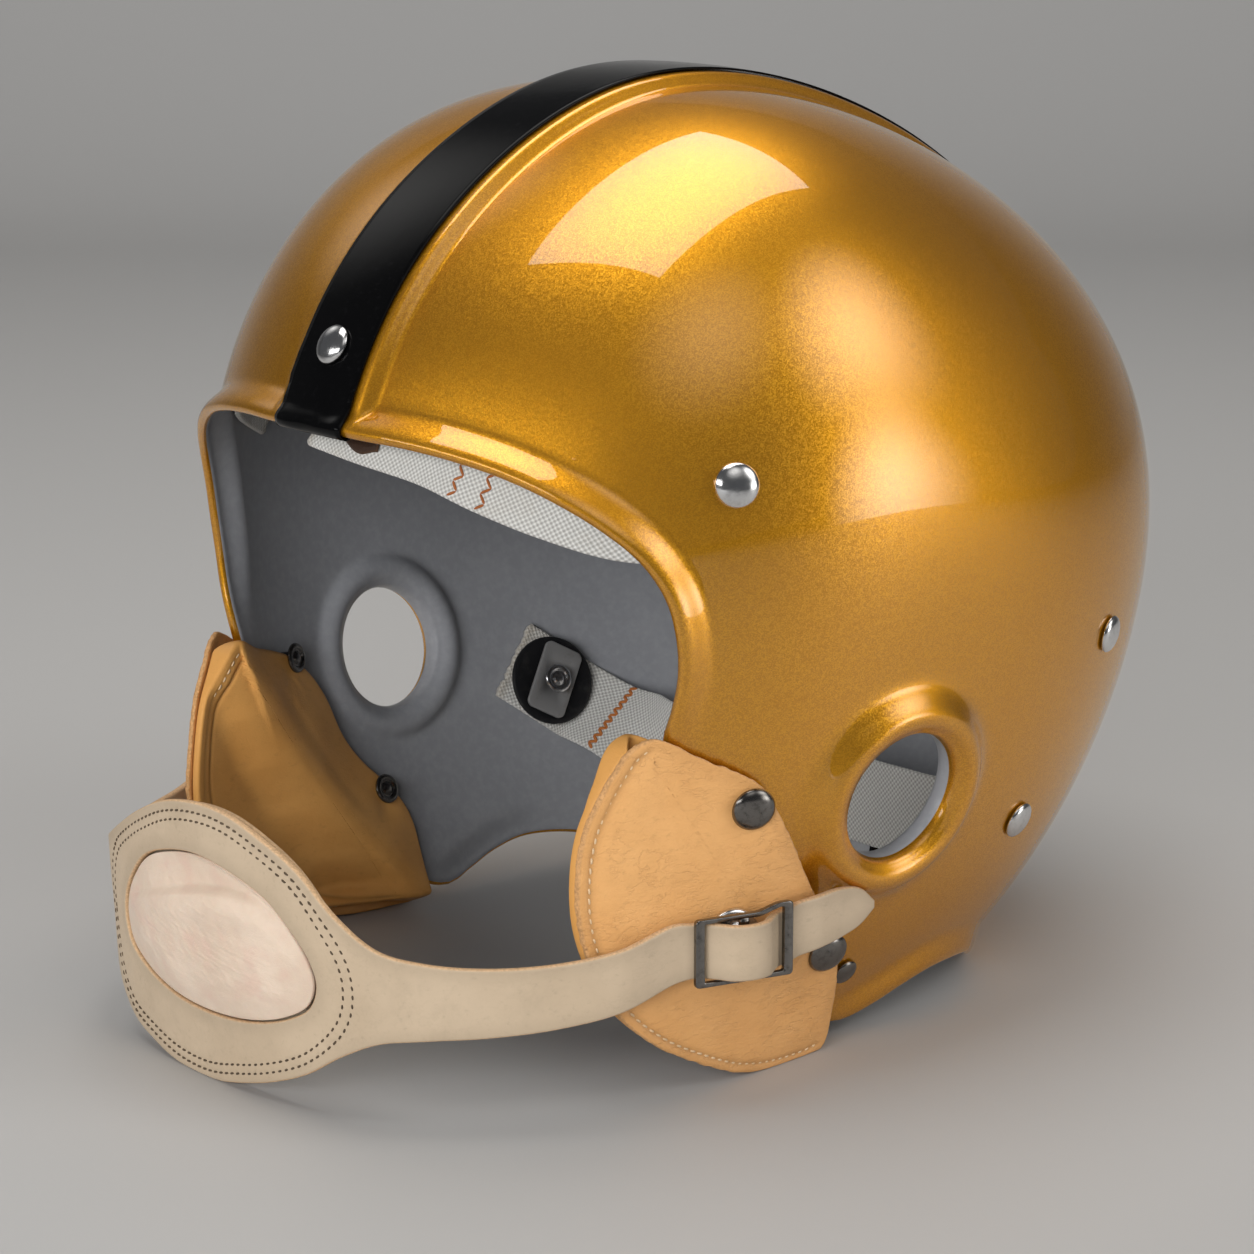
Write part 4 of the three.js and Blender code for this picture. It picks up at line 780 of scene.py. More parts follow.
def gold_paint():
    f = Finish("gold_paint", Coat_Roughness=0.025, Coat_IOR=1.62, Coat_Tint=(0.97, 0.80, 0.40, 1.0))
    inside = f.attribute("inside").between(0.42, 0.58)
    grain = f.cells(3600, outlet=1)
    lean = f.vector("SCALE", i0=f.vector("SUBTRACT", i0=grain, i1=(0.5, 0.5, 0.5)), Scale=0.13)
    face = f.node("ShaderNodeNewGeometry", outlet=1)
    tilted = f.vector("NORMALIZE", i0=f.vector("ADD", i0=face, i1=lean))
    spark = f.node("ShaderNodeSeparateColor", outlet=1, Color=grain)
    speckle = f.noise(260, 3, 0.6)
    gold = f.mix(spark.between(0.1, 0.95), (0.66, 0.34, 0.022), (0.84, 0.49, 0.05))
    gold = f.mix(f.noise(14, 2).between(0.3, 0.7, 0.0, 0.35), gold, (0.68, 0.35, 0.024))
    mottled = f.noise(420, 3, 0.55).between(0.35, 0.75)
    grey = f.mix(mottled, (0.265, 0.27, 0.285), (0.30, 0.305, 0.32))
    dusty = f.mix(f.noise(45, 4).between(0.5, 0.8, 0, 0.35), grey, (0.35, 0.355, 0.37))
    orange_peel = f.bump(f.noise(330, 1), 0.05, 0.0004, Normal=tilted)
    plain = f.bump(speckle, 0.04, 0.0004)
    normal = f.node("ShaderNodeMix", {"data_type": "VECTOR"}, 1, i0=inside, i4=orange_peel, i5=plain)
    f.set(Base_Color=f.mix(inside, gold, dusty), Metallic=0.88 - 0.88 * inside,
          Roughness=0.36 + speckle * 0.06 - inside * 0.06, Coat_Weight=1.0 - inside, Normal=normal)
    return f.material


piece("shell", level(both_points), both_faces, gold_paint(), ["shell"], "gold_paint", {"inside": both_marks})

# %% [markdown]
# ## Sheets of leather and web
# A sheet is cut flat and then laid on its place, so it is modelled the same way. A flat pattern
# of quads carries the distance to its nearest cut edge. Both faces are placed from it, the cut
# edge is rounded by that distance, and side faces close the sheet along its border.

# %% Sheet helpers


def bevel(edge, radius):
    """Depth of a rounded corner at a distance from the cut edge: a quarter circle."""
    inset = radius - np.clip(edge, 0, radius)
    return radius - np.sqrt(np.clip(radius**2 - inset**2, 0, None))


def thick(quads, front, back):
    """Two faces over the same pattern, and the sides between them along its border."""
    sides = quad_sides(quads)
    sides = sides[sides[:, 0] != sides[:, 1]]
    _, first, count = np.unique(np.sort(sides, axis=1), axis=0, return_index=True, return_counts=True)
    border = sides[first[count == 1]]
    n = len(front)
    walls = np.stack([border[:, 1], border[:, 0], border[:, 0] + n, border[:, 1] + n], -1)
    return np.concatenate([front, back]), np.concatenate([quads, quads[:, ::-1] + n, walls])


def sheet(name, quads, front, back, material, slot, **marks):
    """The piece between two faces over one pattern, with marks that are the same on both."""
    points, quads = thick(quads, front.reshape(-1, 3), back.reshape(-1, 3))
    marks = {key: np.concatenate([values, values]) for key, values in marks.items()}
    return piece(name, points, quads, material, [name], slot, marks)


def edge_distance(points, loop):
    """Distance from flat points to a closed outline, to its nearest segment."""
    a, b = loop, np.roll(loop, -1, axis=0)
    run = b - a
    share = ((points[:, None] - a) * run).sum(-1) / ((run**2).sum(-1) + 1e-12)
    foot = a + run * np.clip(share, 0, 1)[..., None]
    return np.sqrt(((points[:, None] - foot) ** 2).sum(-1).min(1))


def inset_loop(loop, distance):
    """A closed outline moved in by a distance, on the side of its middle."""
    ahead = unit(np.roll(loop, -1, axis=0) - np.roll(loop, 1, axis=0))
    inward = np.stack([-ahead[:, 1], ahead[:, 0]], -1)
    if np.mean(np.einsum("ij,ij->i", inward, loop.mean(0) - loop)) < 0:
        inward = -inward
    return loop + inward * distance


UNCUT = 9.0  # a distance from the cut edge at which leather looks whole
BOTH_SIDES = (("left", lambda points: points), ("right", mirror))
EDGE_ROWS = np.array([0, 0.08, 0.2, 0.36, 0.56, 0.8, 1.1, 1.5, 1.9, 2.3, 2.7, 3.2, 4.0, 5.0, 6.2])


def polar_pattern(loop, centre, rows, edge_rows=EDGE_ROWS):
    """Flat points in rows that follow an outline inward, then shrink to the centre, and their quads."""
    near = np.stack([inset_loop(loop, d) for d in edge_rows])
    share = np.linspace(1, 0, rows + 1)[1:, None, None]
    grid = np.concatenate([near, centre + (near[-1] - centre) * share])
    return grid.reshape(-1, 2), grid_faces(*grid.shape[:2], wrap_cols=True)


def bars(centres, ahead, normal, length, width, height, rows=7, cols=8):
    """Small rounded bars such as stitches: drawn-out round bodies whose ends dip inwards."""
    t = np.linspace(0, math.pi, rows)[:, None]
    a = np.linspace(0, 2 * math.pi, cols, endpoint=False)[None]
    x = -np.cos(t) * np.ones_like(a)
    swell = np.sin(t) ** 0.7
    across, up = swell * np.cos(a), swell * np.sin(a)
    side = np.cross(normal, ahead)
    body = [x * length / 2, across * width / 2, up * height / 2 - height * 0.7 * x**4]
    frame = np.stack([ahead, side, normal], 1)
    points = centres[:, None, None] + np.einsum("kij,nkc->nijc", np.stack(body), frame)
    quads = grid_faces(rows, cols, wrap_cols=True)
    starts = (np.arange(len(centres)) * rows * cols)[:, None, None]
    return points.reshape(-1, 3), (quads[None] + starts).reshape(-1, 4)


def stitch_run(path, normals, pitch, length, width, height, lift=0.0, slant=0.0):
    """Stitches along a line on a surface, spaced by a pitch, each turned by a slant."""
    measure = lengths(path)
    at = np.arange(pitch / 2, measure[-1], pitch)
    centres = along(path, measure, at)
    ahead = unit(along(path, measure, np.minimum(at + 0.4, measure[-1])) - along(path, measure, at - 0.4))
    normal = unit(along(normals, measure, at))
    ahead = unit(ahead - normal * np.einsum("ij,ij->i", ahead, normal)[:, None])
    side = np.cross(normal, ahead)
    ahead = ahead * math.cos(slant) + side * math.sin(slant)
    return bars(centres + normal * lift, ahead, normal, length, width, height)


def joined_bodies(*bodies):
    """Several closed bodies as one list of points and quads."""
    starts = np.cumsum([0] + [len(points) for points, _ in bodies])
    quads = [quads + start for (_, quads), start in zip(bodies, starts)]
    return np.concatenate([points for points, _ in bodies]), np.concatenate(quads)


def thread(name, bodies, material, slot):
    """Stitches, which stand for no CAD node. Their mark keeps the shader from showing a cut edge."""
    points, quads = bodies
    piece(name, points, quads, material, [], slot, {"edge": np.full(len(points), UNCUT)})


def turned(profile, point, axis, segments=40):
    """A profile of radius and height, spun about an axis."""
    profile = np.asarray(profile, float)
    axis = unit(np.asarray(axis, float))
    side = unit(np.cross(axis, [0.0, 0.0, 1.0] if abs(axis[2]) < 0.9 else [0.0, 1.0, 0.0]))
    other = np.cross(axis, side)
    turn = np.linspace(0, 2 * math.pi, segments, endpoint=False)
    spoke = np.cos(turn)[:, None] * side + np.sin(turn)[:, None] * other
    grid = point + axis * profile[:, 1, None, None] + spoke[None] * profile[:, 0, None, None]
    return grid.reshape(-1, 3), grid_faces(len(profile), segments, wrap_cols=True)


print("sheet helpers ready")

# %% [markdown]
# ## Black tape
# The stripe is one strip of gloss tape along the rib. It is folded over the edge at the brow and
# at the nape, where it wrinkles a little. It uses the same columns as the shell, one thickness up.

# %% Centre stripe
TAPE_COLUMNS = 6
TAPE_THICKNESS, TAPE_LIFT = 0.5, 0.42


def tape_rows(raise_by):
    """The strip at a height over the shell, from inside the brow, over the crown, to inside the nape."""
    halves = []
    for end in (0, 1):
        part = slice(0, TAPE_COLUMNS) if end == 0 else slice(-TAPE_COLUMNS, None)
        base = band_grid[:, part]
        flare = HALF_FLARE[part]
        inward = inward_at(HALF_AT[part])
        rise = flare_rise(flare[None], BAND[:, None])
        out = joined(rise, np.full_like(rise, RIB_HEIGHT))
        normal = shell_normal(base)
        outside = base + normal * (out + raise_by)[..., None]
        inside = base + normal * (rise - WALL - raise_by)[..., None]
        turn = LIP_TURNS[1:-1, None, None]
        middle = ((out[-1] + rise[-1] - WALL) / 2)[None, :, None]
        half = ((out[-1] - rise[-1] + WALL) / 2 + raise_by)[None, :, None]
        reach = (EDGE_RADIUS + raise_by) * np.sin(turn)
        fold = base[-1][None] - inward[None] * reach + normal[-1][None] * (middle + half * np.cos(turn))
        rows = np.concatenate([inside[1:], fold[::-1], outside[::-1]])
        halves.append(rows if end == 0 else rows[:, ::-1])
    over = crest[:, :TAPE_COLUMNS]
    over = over + shell_normal(over) * (RIB_HEIGHT + raise_by)
    return np.concatenate([halves[0], over[1:-1], halves[1][::-1]])


def both_sides(half):
    """The rows of a half strip, continued on the other side of the middle."""
    half = half.copy()
    half[:, 0, 0] = 0
    return np.concatenate([mirror(half[:, :0:-1]), half], axis=1)


tape_out, tape_in = both_sides(tape_rows(TAPE_LIFT + TAPE_THICKNESS)), both_sides(tape_rows(TAPE_LIFT))
fold_row = len(BAND) + len(LIP_TURNS) - 3
row_number = np.arange(tape_out.shape[0])
creased = np.exp(-(((row_number - fold_row - 2) / 9.0) ** 2))[:, None]
crumple = (ripple(tape_out * [1.0, 0.4, 0.4], 5.5, 3) * 0.40 + ripple(tape_out, 2.6, 4) * 0.22) * creased
tape_out = tape_out + shell_normal(tape_out) * np.clip(crumple, -0.28, 0.6)[..., None]


def black_tape():
    f = Finish("black_tape", Specular_IOR_Level=0.11)
    film = f.noise(90, 3)
    scuff = f.noise(700, 4, 0.6).between(0.55, 0.8)
    f.set(Base_Color=f.mix(scuff, (0.002, 0.002, 0.0022), (0.005, 0.005, 0.0055)),
          Roughness=0.10 + scuff * 0.12 + film * 0.05, Normal=f.bump(film, 0.06, 0.0008))
    return f.material


sheet("centre_stripe", grid_faces(*tape_out.shape[:2]), level(tape_out), level(tape_in), black_tape(),
      "black_tape")

# %% [markdown]
# ## Rivets
# Each rivet is one turned piece: a domed head outside, a shank through the wall, and a set end
# inside that is rolled over in a small crater. A profile is spun about the axis, as on a lathe,
# because the dome's highlight shows at once whether its curve is true.

# %% Rivets
SHANK_RADIUS = 2.0
HEAD_LIP = 0.35


def rivet_profile(head, rise, outside, inside, blind=False):
    """Pole of the dome, elliptical dome, small rim, shank, then the rolled inner end if it has one."""
    t = np.radians(np.linspace(0, 88, 14))
    dome = np.stack([head * np.sin(t), outside + HEAD_LIP + (rise - HEAD_LIP) * np.cos(t)], -1)
    rim = [(head, outside + 0.25), (head - 0.08, outside + 0.08), (head - 0.3, outside),
           (SHANK_RADIUS, outside)]
    rolled = [(3.9, 0), (4.15, -0.12), (4.25, -0.4), (4.1, -0.75), (3.7, -1.02), (3.2, -1.1), (2.75, -0.95),
              (2.45, -0.62), (2.2, -0.5), (1.9, -0.62), (1.5, -1.0), (1.0, -1.2), (0.5, -1.28), (0, -1.3)]
    end = [(SHANK_RADIUS, 0)] + ([(1.5, 0), (0, 0)] if blind else rolled)
    return np.concatenate([dome, rim, [(r, z - inside) for r, z in end]])


def metal(name, colour, worn, roughness):
    f = Finish(name, Metallic=1.0)
    wear = f.noise(600, 4, 0.6).between(0.45, 0.75)
    haze = f.noise(160, 2)
    scratch = f.noise(1500, 2, 0.5)
    f.set(Base_Color=f.mix(wear, colour, worn), Roughness=roughness + wear * 0.10 + haze * 0.06,
          Normal=f.bump(scratch, 0.05, 0.0002))
    return f.material


BRIGHT = metal("bright_rivet", (0.74, 0.74, 0.745), (0.58, 0.575, 0.57), 0.12)
DARK = metal("dark_nickel", (0.20, 0.19, 0.18), (0.12, 0.112, 0.104), 0.17)
SHELL_RIVETS = [  # name, x, y, z, head, rise, outside, inside, sides, material, slot
    ("front_rivet", 0, -93.6, 181, 5.2, 2.4, 4.1, 11.2, (0,), BRIGHT, "bright_rivet"),
    ("side_rivet", 98.5, -50, 155, 5.6, 2.8, 0.3, 7, (1, -1), BRIGHT, "bright_rivet"),
    ("rear_upper_rivet", 103, 81, 98, 5, 2.2, 0.3, 4.4, (1, -1), BRIGHT, "bright_rivet"),
    ("rear_lower_rivet", 97, 54.5, 50.5, 5, 2.2, 0.3, 11.4, (1, -1), BRIGHT, "bright_rivet"),
    ("jaw_stud", 89, -1.5, 18.5, 3.6, 1.6, 0.3, 2.2, (1, -1), DARK, "dark_nickel"),
]
SIDE_NAMES = {0: "", 1: "_left", -1: "_right"}

for name, x, y, z, head, rise, outside, inside, sides, material, slot in SHELL_RIVETS:
    for side in sides:
        point = on_shell(np.array([x * (side or 1), y, z], float))
        profile = rivet_profile(head, rise, outside, inside, blind=name == "jaw_stud")
        node = name + SIDE_NAMES[side]
        piece(node, *turned(profile, point, shell_normal(point)), material, [node], slot)

# %% [markdown]
# ## Jaw pads
# A jaw pad is two leathers. The outer one is a firm tan flap that lies over the shell and is
# riveted through it. The inner one is a softer padded lining. It has a stitched binding along its
# front edge, swells behind it, and is drawn in where the rivets pull on it.

# %% Outer leather flap
FLAP_THICKNESS, FLAP_GAP, LINING_GAP, CLEARANCE = 2.2, 0.6, 0.8, 0.3
PAD_CENTRE = np.array([-44.0, 46.0])
PAD_OUTLINE = np.array([  # y, z
    (-68, 93.5), (-57, 87.5), (-49, 83.5), (-42.5, 79), (-38, 72), (-32.5, 62.5), (-27, 53), (-19, 42),
    (-13, 34), (-9, 24), (-7, 10), (-7.5, 1), (-12, -0.5), (-25, -0.7), (-39, 1.6), (-53, 7.5), (-65.5, 14.5),
    (-75.5, 23.5), (-81.8, 35), (-84.8, 46), (-85, 58), (-82.8, 71), (-77.5, 83.5), (-72.5, 91.5),
])
PER_OUTLINE_ROW = 10
JAW_RIVETS = [("upper", -44.9, 74.0), ("lower", -15.2, 30.0)]
STITCH_FROM, STITCH_TO = 11.6, 23.7  # rows of the outline between which the flap is stitched


def flap_inside(y, z):
    """The flap's inner face: its own gentle form, held off the shell where that stands out more."""
    Y, Z = (y + 30) / 50, (z - 50) / 50
    free = 95 + 12.3 * Y + 12.1 * Z - 2.35 * Y * Y + 2.9 * Z * Z + 14.3 * Y * Z
    free = free + 3.5 * np.exp(-((y + 50) ** 2 + (z - 45) ** 2) / 27**2)
    resting = shell_side(y, z, FLAP_GAP)
    return 0.5 * (free + resting + np.hypot(free - resting, 1.0))


def pad_loop(shrink=1.0):
    """The smooth side-view outline of the pad."""
    return smooth_path(PAD_CENTRE + (PAD_OUTLINE - PAD_CENTRE) * shrink, PER_OUTLINE_ROW, closed=True)[:-1]


def front_share(flat, loop, start, end, soft):
    """1 where the nearest place of the outline lies between two of its rows, fading at both ends."""
    nearest = ((flat[:, None] - loop[None]) ** 2).sum(-1).argmin(1) / PER_OUTLINE_ROW
    return ease(nearest, start - soft, start + soft) * (1 - ease(nearest, end - soft, end + soft))


def pad_rivet_seats(flat):
    """Distance from each flat point to the nearest jaw rivet."""
    return np.min([np.hypot(flat[:, 0] - y, flat[:, 1] - z) for _, y, z in JAW_RIVETS], axis=0)


flap_loop = pad_loop()
flap_flat, flap_quads = polar_pattern(flap_loop, PAD_CENTRE, 24)
flap_edge = edge_distance(flap_flat, flap_loop)
flap_edge[: len(flap_loop)] = 0
STITCH_INSET = 2.5
flap_stitched = front_share(flap_flat, flap_loop, STITCH_FROM, STITCH_TO, 0.5)


def flap_surfaces():
    """Front and back of the flap, with a stitched groove, soft puckers and slightly lifted corners."""
    y, z = flap_flat.T
    inner = flap_inside(y, z)
    groove = 0.35 * flap_stitched * np.exp(-(((flap_edge - STITCH_INSET) / 0.55) ** 2))
    pillow = 0.35 * flap_stitched * ease(flap_edge, STITCH_INSET, 7) * (1 - ease(flap_edge, 7, 18))
    sunk = 0.5 * np.exp(-((pad_rivet_seats(flap_flat) / 6.5) ** 2))
    wavy = ripple(flap_flat, 34, 5) * 0.22 + ripple(flap_flat, 13, 6) * 0.07
    nicks = ripple(flap_flat, 3.2, 7) * 0.16 + ripple(flap_flat, 1.7, 8) * 0.10
    nicks = nicks * np.exp(-((flap_edge / 0.5) ** 2))
    rounded = bevel(flap_edge, 0.85)
    outer_x = inner + FLAP_THICKNESS + wavy + pillow - groove - sunk - rounded
    inner_x = inner + np.minimum(wavy, 0.15) + rounded
    yz = flap_flat + nicks[:, None] * unit(flap_flat - PAD_CENTRE + 1e-6)
    return np.column_stack([outer_x, yz]), np.column_stack([inner_x, yz])


flap_front, flap_back = flap_surfaces()
flap_seam = flap_stitched * np.exp(-(((flap_edge - STITCH_INSET) / 0.6) ** 2))


def leather(name, light, dark, raw, grain=1.0, roughness=0.5, worn=0.5):
    """Vegetable tanned leather: cloudy colour, fine creases, pores, and a raw cut edge."""
    f = Finish(name, Specular_IOR_Level=0.42)
    cloud = f.noise(26, 4, 0.6)
    streak = f.noise(130, 4, 0.65)
    pore = f.cells(1500)
    drawn_out = f.node("ShaderNodeMapping", Vector=f.place, Rotation=(0.5, 0.3, 0.8), Scale=(1.0, 0.42, 1.0))
    crease = f.noise(620, 4, 0.62, drawn_out)
    wrinkle = f.noise(210, 3, 0.6, drawn_out)
    vein = (f.noise(300, 4, 0.62, drawn_out) - 0.5).absolute().between(0.0, 0.035, 1.0, 0.0)
    vein = vein * f.noise(70, 3).between(0.35, 0.65, 0.15, 1.0)
    edge = f.attribute("edge")
    cut = 1.0 - edge.between(0.05, 0.55)
    base = f.mix(cloud.between(0.3, 0.72), light, dark)
    marks = [(streak.between(0.45, 0.85, 0.0, worn), 0.72), (crease.between(0.55, 0.8, 0.0, 0.35), 0.62),
             (vein * (0.32 * worn), 0.55), (f.attribute("seam") * 0.55, 0.45),
             ((1.0 - edge.between(0.6, 5.0)) * 0.45, 0.80)]
    for share, darker in marks:
        base = f.mix(share, base, tuple(c * darker for c in dark))
    fibre = f.noise(1500, 3)
    base = f.mix(cut, base, f.mix(fibre.between(0.3, 0.7), raw, tuple(c * 0.7 for c in raw)))
    height = crease * 0.55 + wrinkle * 0.6 + pore * 0.18 + fibre * 0.9 * cut - vein * 0.35
    f.set(Base_Color=base, Roughness=roughness + crease * 0.16 + cut * 0.25 - 0.05,
          Normal=f.bump(height, 0.30 * grain, 0.0006))
    return f.material


TAN = leather("tan_leather", (0.76, 0.41, 0.155), (0.68, 0.345, 0.118), (0.66, 0.36, 0.15), 1.9, 0.46, 0.2)
CREAM = leather("cream_thread", (0.74, 0.55, 0.34), (0.60, 0.42, 0.24), (0.6, 0.45, 0.3), 0.4, 0.7, 0.3)
DUSKY = leather("dark_thread", (0.115, 0.082, 0.052), (0.07, 0.05, 0.033), (0.1, 0.07, 0.05), 0.4, 0.7, 0.3)
RUST = leather("rust_thread", (0.46, 0.16, 0.045), (0.30, 0.09, 0.025), (0.4, 0.14, 0.04), 0.4, 0.75, 0.3)


def loop_piece(loop, start, end, inset, surface):
    """A stretch of an outline, moved in, as points and normals on a surface that is given by its x."""
    index = np.arange(start, end, 1.0 / PER_OUTLINE_ROW)
    inner = inset_loop(loop, inset)
    flat = along(inner, np.arange(len(inner)) / PER_OUTLINE_ROW, index)
    y, z = flat.T
    x = surface(y, z)
    slope_y = surface(y + 0.5, z) - surface(y - 0.5, z)
    slope_z = surface(y, z + 0.5) - surface(y, z - 0.5)
    normal = unit(np.stack([np.ones_like(x), -slope_y, -slope_z], -1))
    return np.column_stack([x, flat]), normal


def stitch_bed(y, z):
    """Where the thread lies on the flap: a little under its face, in the groove."""
    return flap_inside(y, z) + FLAP_THICKNESS - 0.30


stitch_path, stitch_normal = loop_piece(flap_loop, STITCH_FROM, STITCH_TO, STITCH_INSET, stitch_bed)
flap_stitches, stitch_quads = stitch_run(stitch_path, stitch_normal, 2.5, 1.7, 0.6, 0.5, slant=0.12)

FAR_DROP = 5.5


def far_side(points):
    """The wearer's right pad: mirrored, with its top corner a little lower, as it sits in the photo."""
    turned_over = mirror(points)
    return turned_over - np.outer(FAR_DROP * ease(turned_over[:, 2], 68, 93), [0, 0, 1])


PAD_SIDES = (("left", lambda points: points), ("right", far_side))
for side, turn_over in PAD_SIDES:
    sheet("jaw_flap_" + side, flap_quads, level(turn_over(flap_front)), level(turn_over(flap_back)), TAN,
          "tan_leather", edge=flap_edge, seam=flap_seam)
    stitches = level(turn_over(flap_stitches)), stitch_quads
    thread("jaw_flap_stitches_" + side, stitches, CREAM, "tan_leather")

# %% [markdown]
# ## Padded lining
# The lining is cut a little smaller. Its thickness is thin on the binding, and full behind the
# seam. Soft folds run out from the seam's top end and from the upper rivet, where the padding is
# gathered, and one long soft crease follows the rear edge between the rivets.

# %% Inner padded leather
LINING_EDGE, LINING_LOFT = 2.0, 3.8
BINDING_WIDTH = 6.0
CHEEK_EDGE = RIM[9:20, :3]  # the shell's front edge where the pad covers it


def inside_edge(y, z):
    """How far a place in the side view lies behind the shell's front edge."""
    rows = CHEEK_EDGE[::-1]
    edge_y = np.interp(z, rows[:, 2], rows[:, 1])
    slope = (np.interp(z + 2, rows[:, 2], rows[:, 1]) - np.interp(z - 2, rows[:, 2], rows[:, 1])) / 4
    return (y - edge_y) / np.hypot(1, slope)


def lining_outside(y, z, start=-8.5, end=-1.5):
    """The lining's outer face: behind the shell's wall, and against the flap past the edge."""
    share = ease(inside_edge(y, z), start, end)
    behind_flap = flap_inside(y, z) - CLEARANCE
    behind_wall = shell_side(y, z, -WALL - LINING_GAP)
    return behind_flap + (np.minimum(behind_flap, behind_wall) - behind_flap) * share


lining_loop = pad_loop(0.985)
fuller = 4.2 * np.exp(-(((lining_loop[:, 1] - 27) / 13) ** 2)) * ease(lining_loop[:, 0], -40, -14)
fuller = fuller + 4.2 * np.exp(-(((lining_loop[:, 1] - 64) / 13) ** 2)) * ease(lining_loop[:, 0], -62, -40)
lining_loop[:, 0] += fuller  # the padding bulges past the flap's rear edge, low down
LINING_ROWS = np.append(EDGE_ROWS[:13], [4.6, 5.0, 5.4, 5.7, 6.0, 6.3, 6.6, 7.0, 7.5, 8.2, 9.5, 11.0])
lining_flat, lining_quads = polar_pattern(lining_loop, PAD_CENTRE, 26, LINING_ROWS)
lining_edge = edge_distance(lining_flat, lining_loop)
lining_edge[: len(lining_loop)] = 0
bound = front_share(lining_flat, lining_loop, 12.5, 23.6, 0.4)


def folds(flat, at, reach, count, seed):
    """Folds that run out from a point like spokes, deep near it and gone at the reach."""
    arm = flat - at
    distance, angle = np.hypot(*arm.T), np.arctan2(arm[:, 1], arm[:, 0])
    draw = np.random.default_rng(seed)
    turns = sum(np.cos(k * angle + draw.uniform(0, 6.3) + distance * draw.uniform(-0.05, 0.05))
                for k in (count, count + 2, count - 1)) / 3
    return turns * np.exp(-((distance / reach) ** 2)) * ease(distance, 1.5, 6.0)


def lining_surfaces():
    """Front and back faces: a swell behind the binding's seam, folds, a crease and rivet dimples."""
    y, z = lining_flat.T
    outer = lining_outside(y, z)
    start = BINDING_WIDTH * bound
    behind = np.clip((lining_edge - start) / (15 + 9 * bound), 0, 1)
    swell = 0.10 + 0.90 * np.sin(0.5 * math.pi * behind)
    roll = 0.10 * np.sin(math.pi * np.clip(lining_edge / BINDING_WIDTH, 0, 1)) * bound
    seam = 0.6 * bound * np.exp(-(((lining_edge - BINDING_WIDTH) / 0.55) ** 2))
    stitch_line = 0.25 * bound * np.exp(-(((lining_edge - BINDING_WIDTH * 0.5) / 0.5) ** 2))
    upper, lower = (np.array([ry, rz]) for _, ry, rz in JAW_RIVETS)
    gathered = folds(lining_flat, upper, 8, 9, 11) * 0.35 + folds(lining_flat, lower, 7, 7, 12) * 0.2
    gathered = gathered + folds(lining_flat, np.array([-61.0, 88.0]), 8, 11, 13) * 0.22
    run = unit(lower - upper)
    offset = (lining_flat - upper) @ np.array([run[1], -run[0]])
    crease = 0.30 * np.exp(-(((offset - 7.0) / 2.2) ** 2)) - 0.20 * np.exp(-(((offset - 11.5) / 3.5) ** 2))
    crease = crease * ease(z, 24, 38) * (1 - ease(z, 66, 76))
    dimple = np.exp(-((pad_rivet_seats(lining_flat) / 4.5) ** 2))
    soft = ripple(lining_flat, 30, 21) * 0.22 + ripple(lining_flat, 12, 22) * 0.06
    thickness = LINING_EDGE + LINING_LOFT * (swell + roll) + (soft - crease + gathered) * swell
    sunken = thickness - 1.3 * dimple * swell
    rounded = bevel(lining_edge, 0.95)
    eased = lining_outside(y, z, -19, 3) - sunken + seam + stitch_line
    least = outer - 1.9
    inner_x = 0.5 * (eased + least - np.hypot(eased - least, 1.6)) + rounded
    outer_x = outer - rounded
    return np.column_stack([outer_x, lining_flat]), np.column_stack([inner_x, lining_flat])


lining_front, lining_back = lining_surfaces()
lining_seam = bound * sum(depth * np.exp(-(((lining_edge - inset) / 0.5) ** 2))
                          for inset, depth in ((BINDING_WIDTH, 0.8), (BINDING_WIDTH / 2, 0.5)))
SOFT_TAN = leather("soft_tan_leather", (0.78, 0.40, 0.115), (0.67, 0.32, 0.082), (0.66, 0.37, 0.15),
                   0.5, 0.42, 0.2)


def binding_bed(y, z):
    """Where the thread lies on the lining's inner face, in the middle of the binding."""
    return lining_outside(y, z, -19, 3) - LINING_EDGE - LINING_LOFT * 0.26 + 0.2


binding_path, binding_normal = loop_piece(lining_loop, 12.8, 23.5, BINDING_WIDTH * 0.5, binding_bed)
binding_stitches, stitch_quads = stitch_run(binding_path, -binding_normal, 3.2, 2.4, 0.6, 0.5, slant=-0.08)

for side, turn_over in PAD_SIDES:
    made = sheet("jaw_lining_" + side, lining_quads, level(turn_over(lining_front)),
                 level(turn_over(lining_back)), SOFT_TAN, "tan_leather", edge=lining_edge + 0.9,
                 seam=lining_seam)
    stitches = level(turn_over(binding_stitches)), stitch_quads
    thread("jaw_lining_stitches_" + side, stitches, CREAM, "tan_leather")

# %% [markdown]
# The jaw rivets go through flap, shell and lining, so their axis is the shell's normal there.

# %% Jaw rivets
for place, y, z in JAW_RIVETS:
    seat = np.array([float(flap_inside(np.array([y]), np.array([z]))[0]) + FLAP_THICKNESS, y, z])
    axis = shell_normal(on_shell(seat))
    arm = seat - lining_back
    depth = arm @ axis
    aside = np.linalg.norm(arm - depth[:, None] * axis, axis=1)
    inside = float(depth[aside < 3.5].max()) + 0.1
    points, quads = turned(rivet_profile(5.6, 2.8, 0.15, inside), seat, axis)
    for side, turn_over in BOTH_SIDES:
        name = f"jaw_rivet_{place}_{side}"
        piece(name, turn_over(points), quads, DARK, [name], "dark_nickel")
    print(place, "inner head", round(inside, 1), "mm under the flap's face")

# %% [markdown]
# ## Cotton webs
# The suspension is cotton web, about a finger wide at the nape and wider at the brow. Its weave
# is modelled as relief: each thread crossing is a small pillow that is high on one face and low
# on the other, and rows alternate. The web's own measure along and across is kept as its UV.

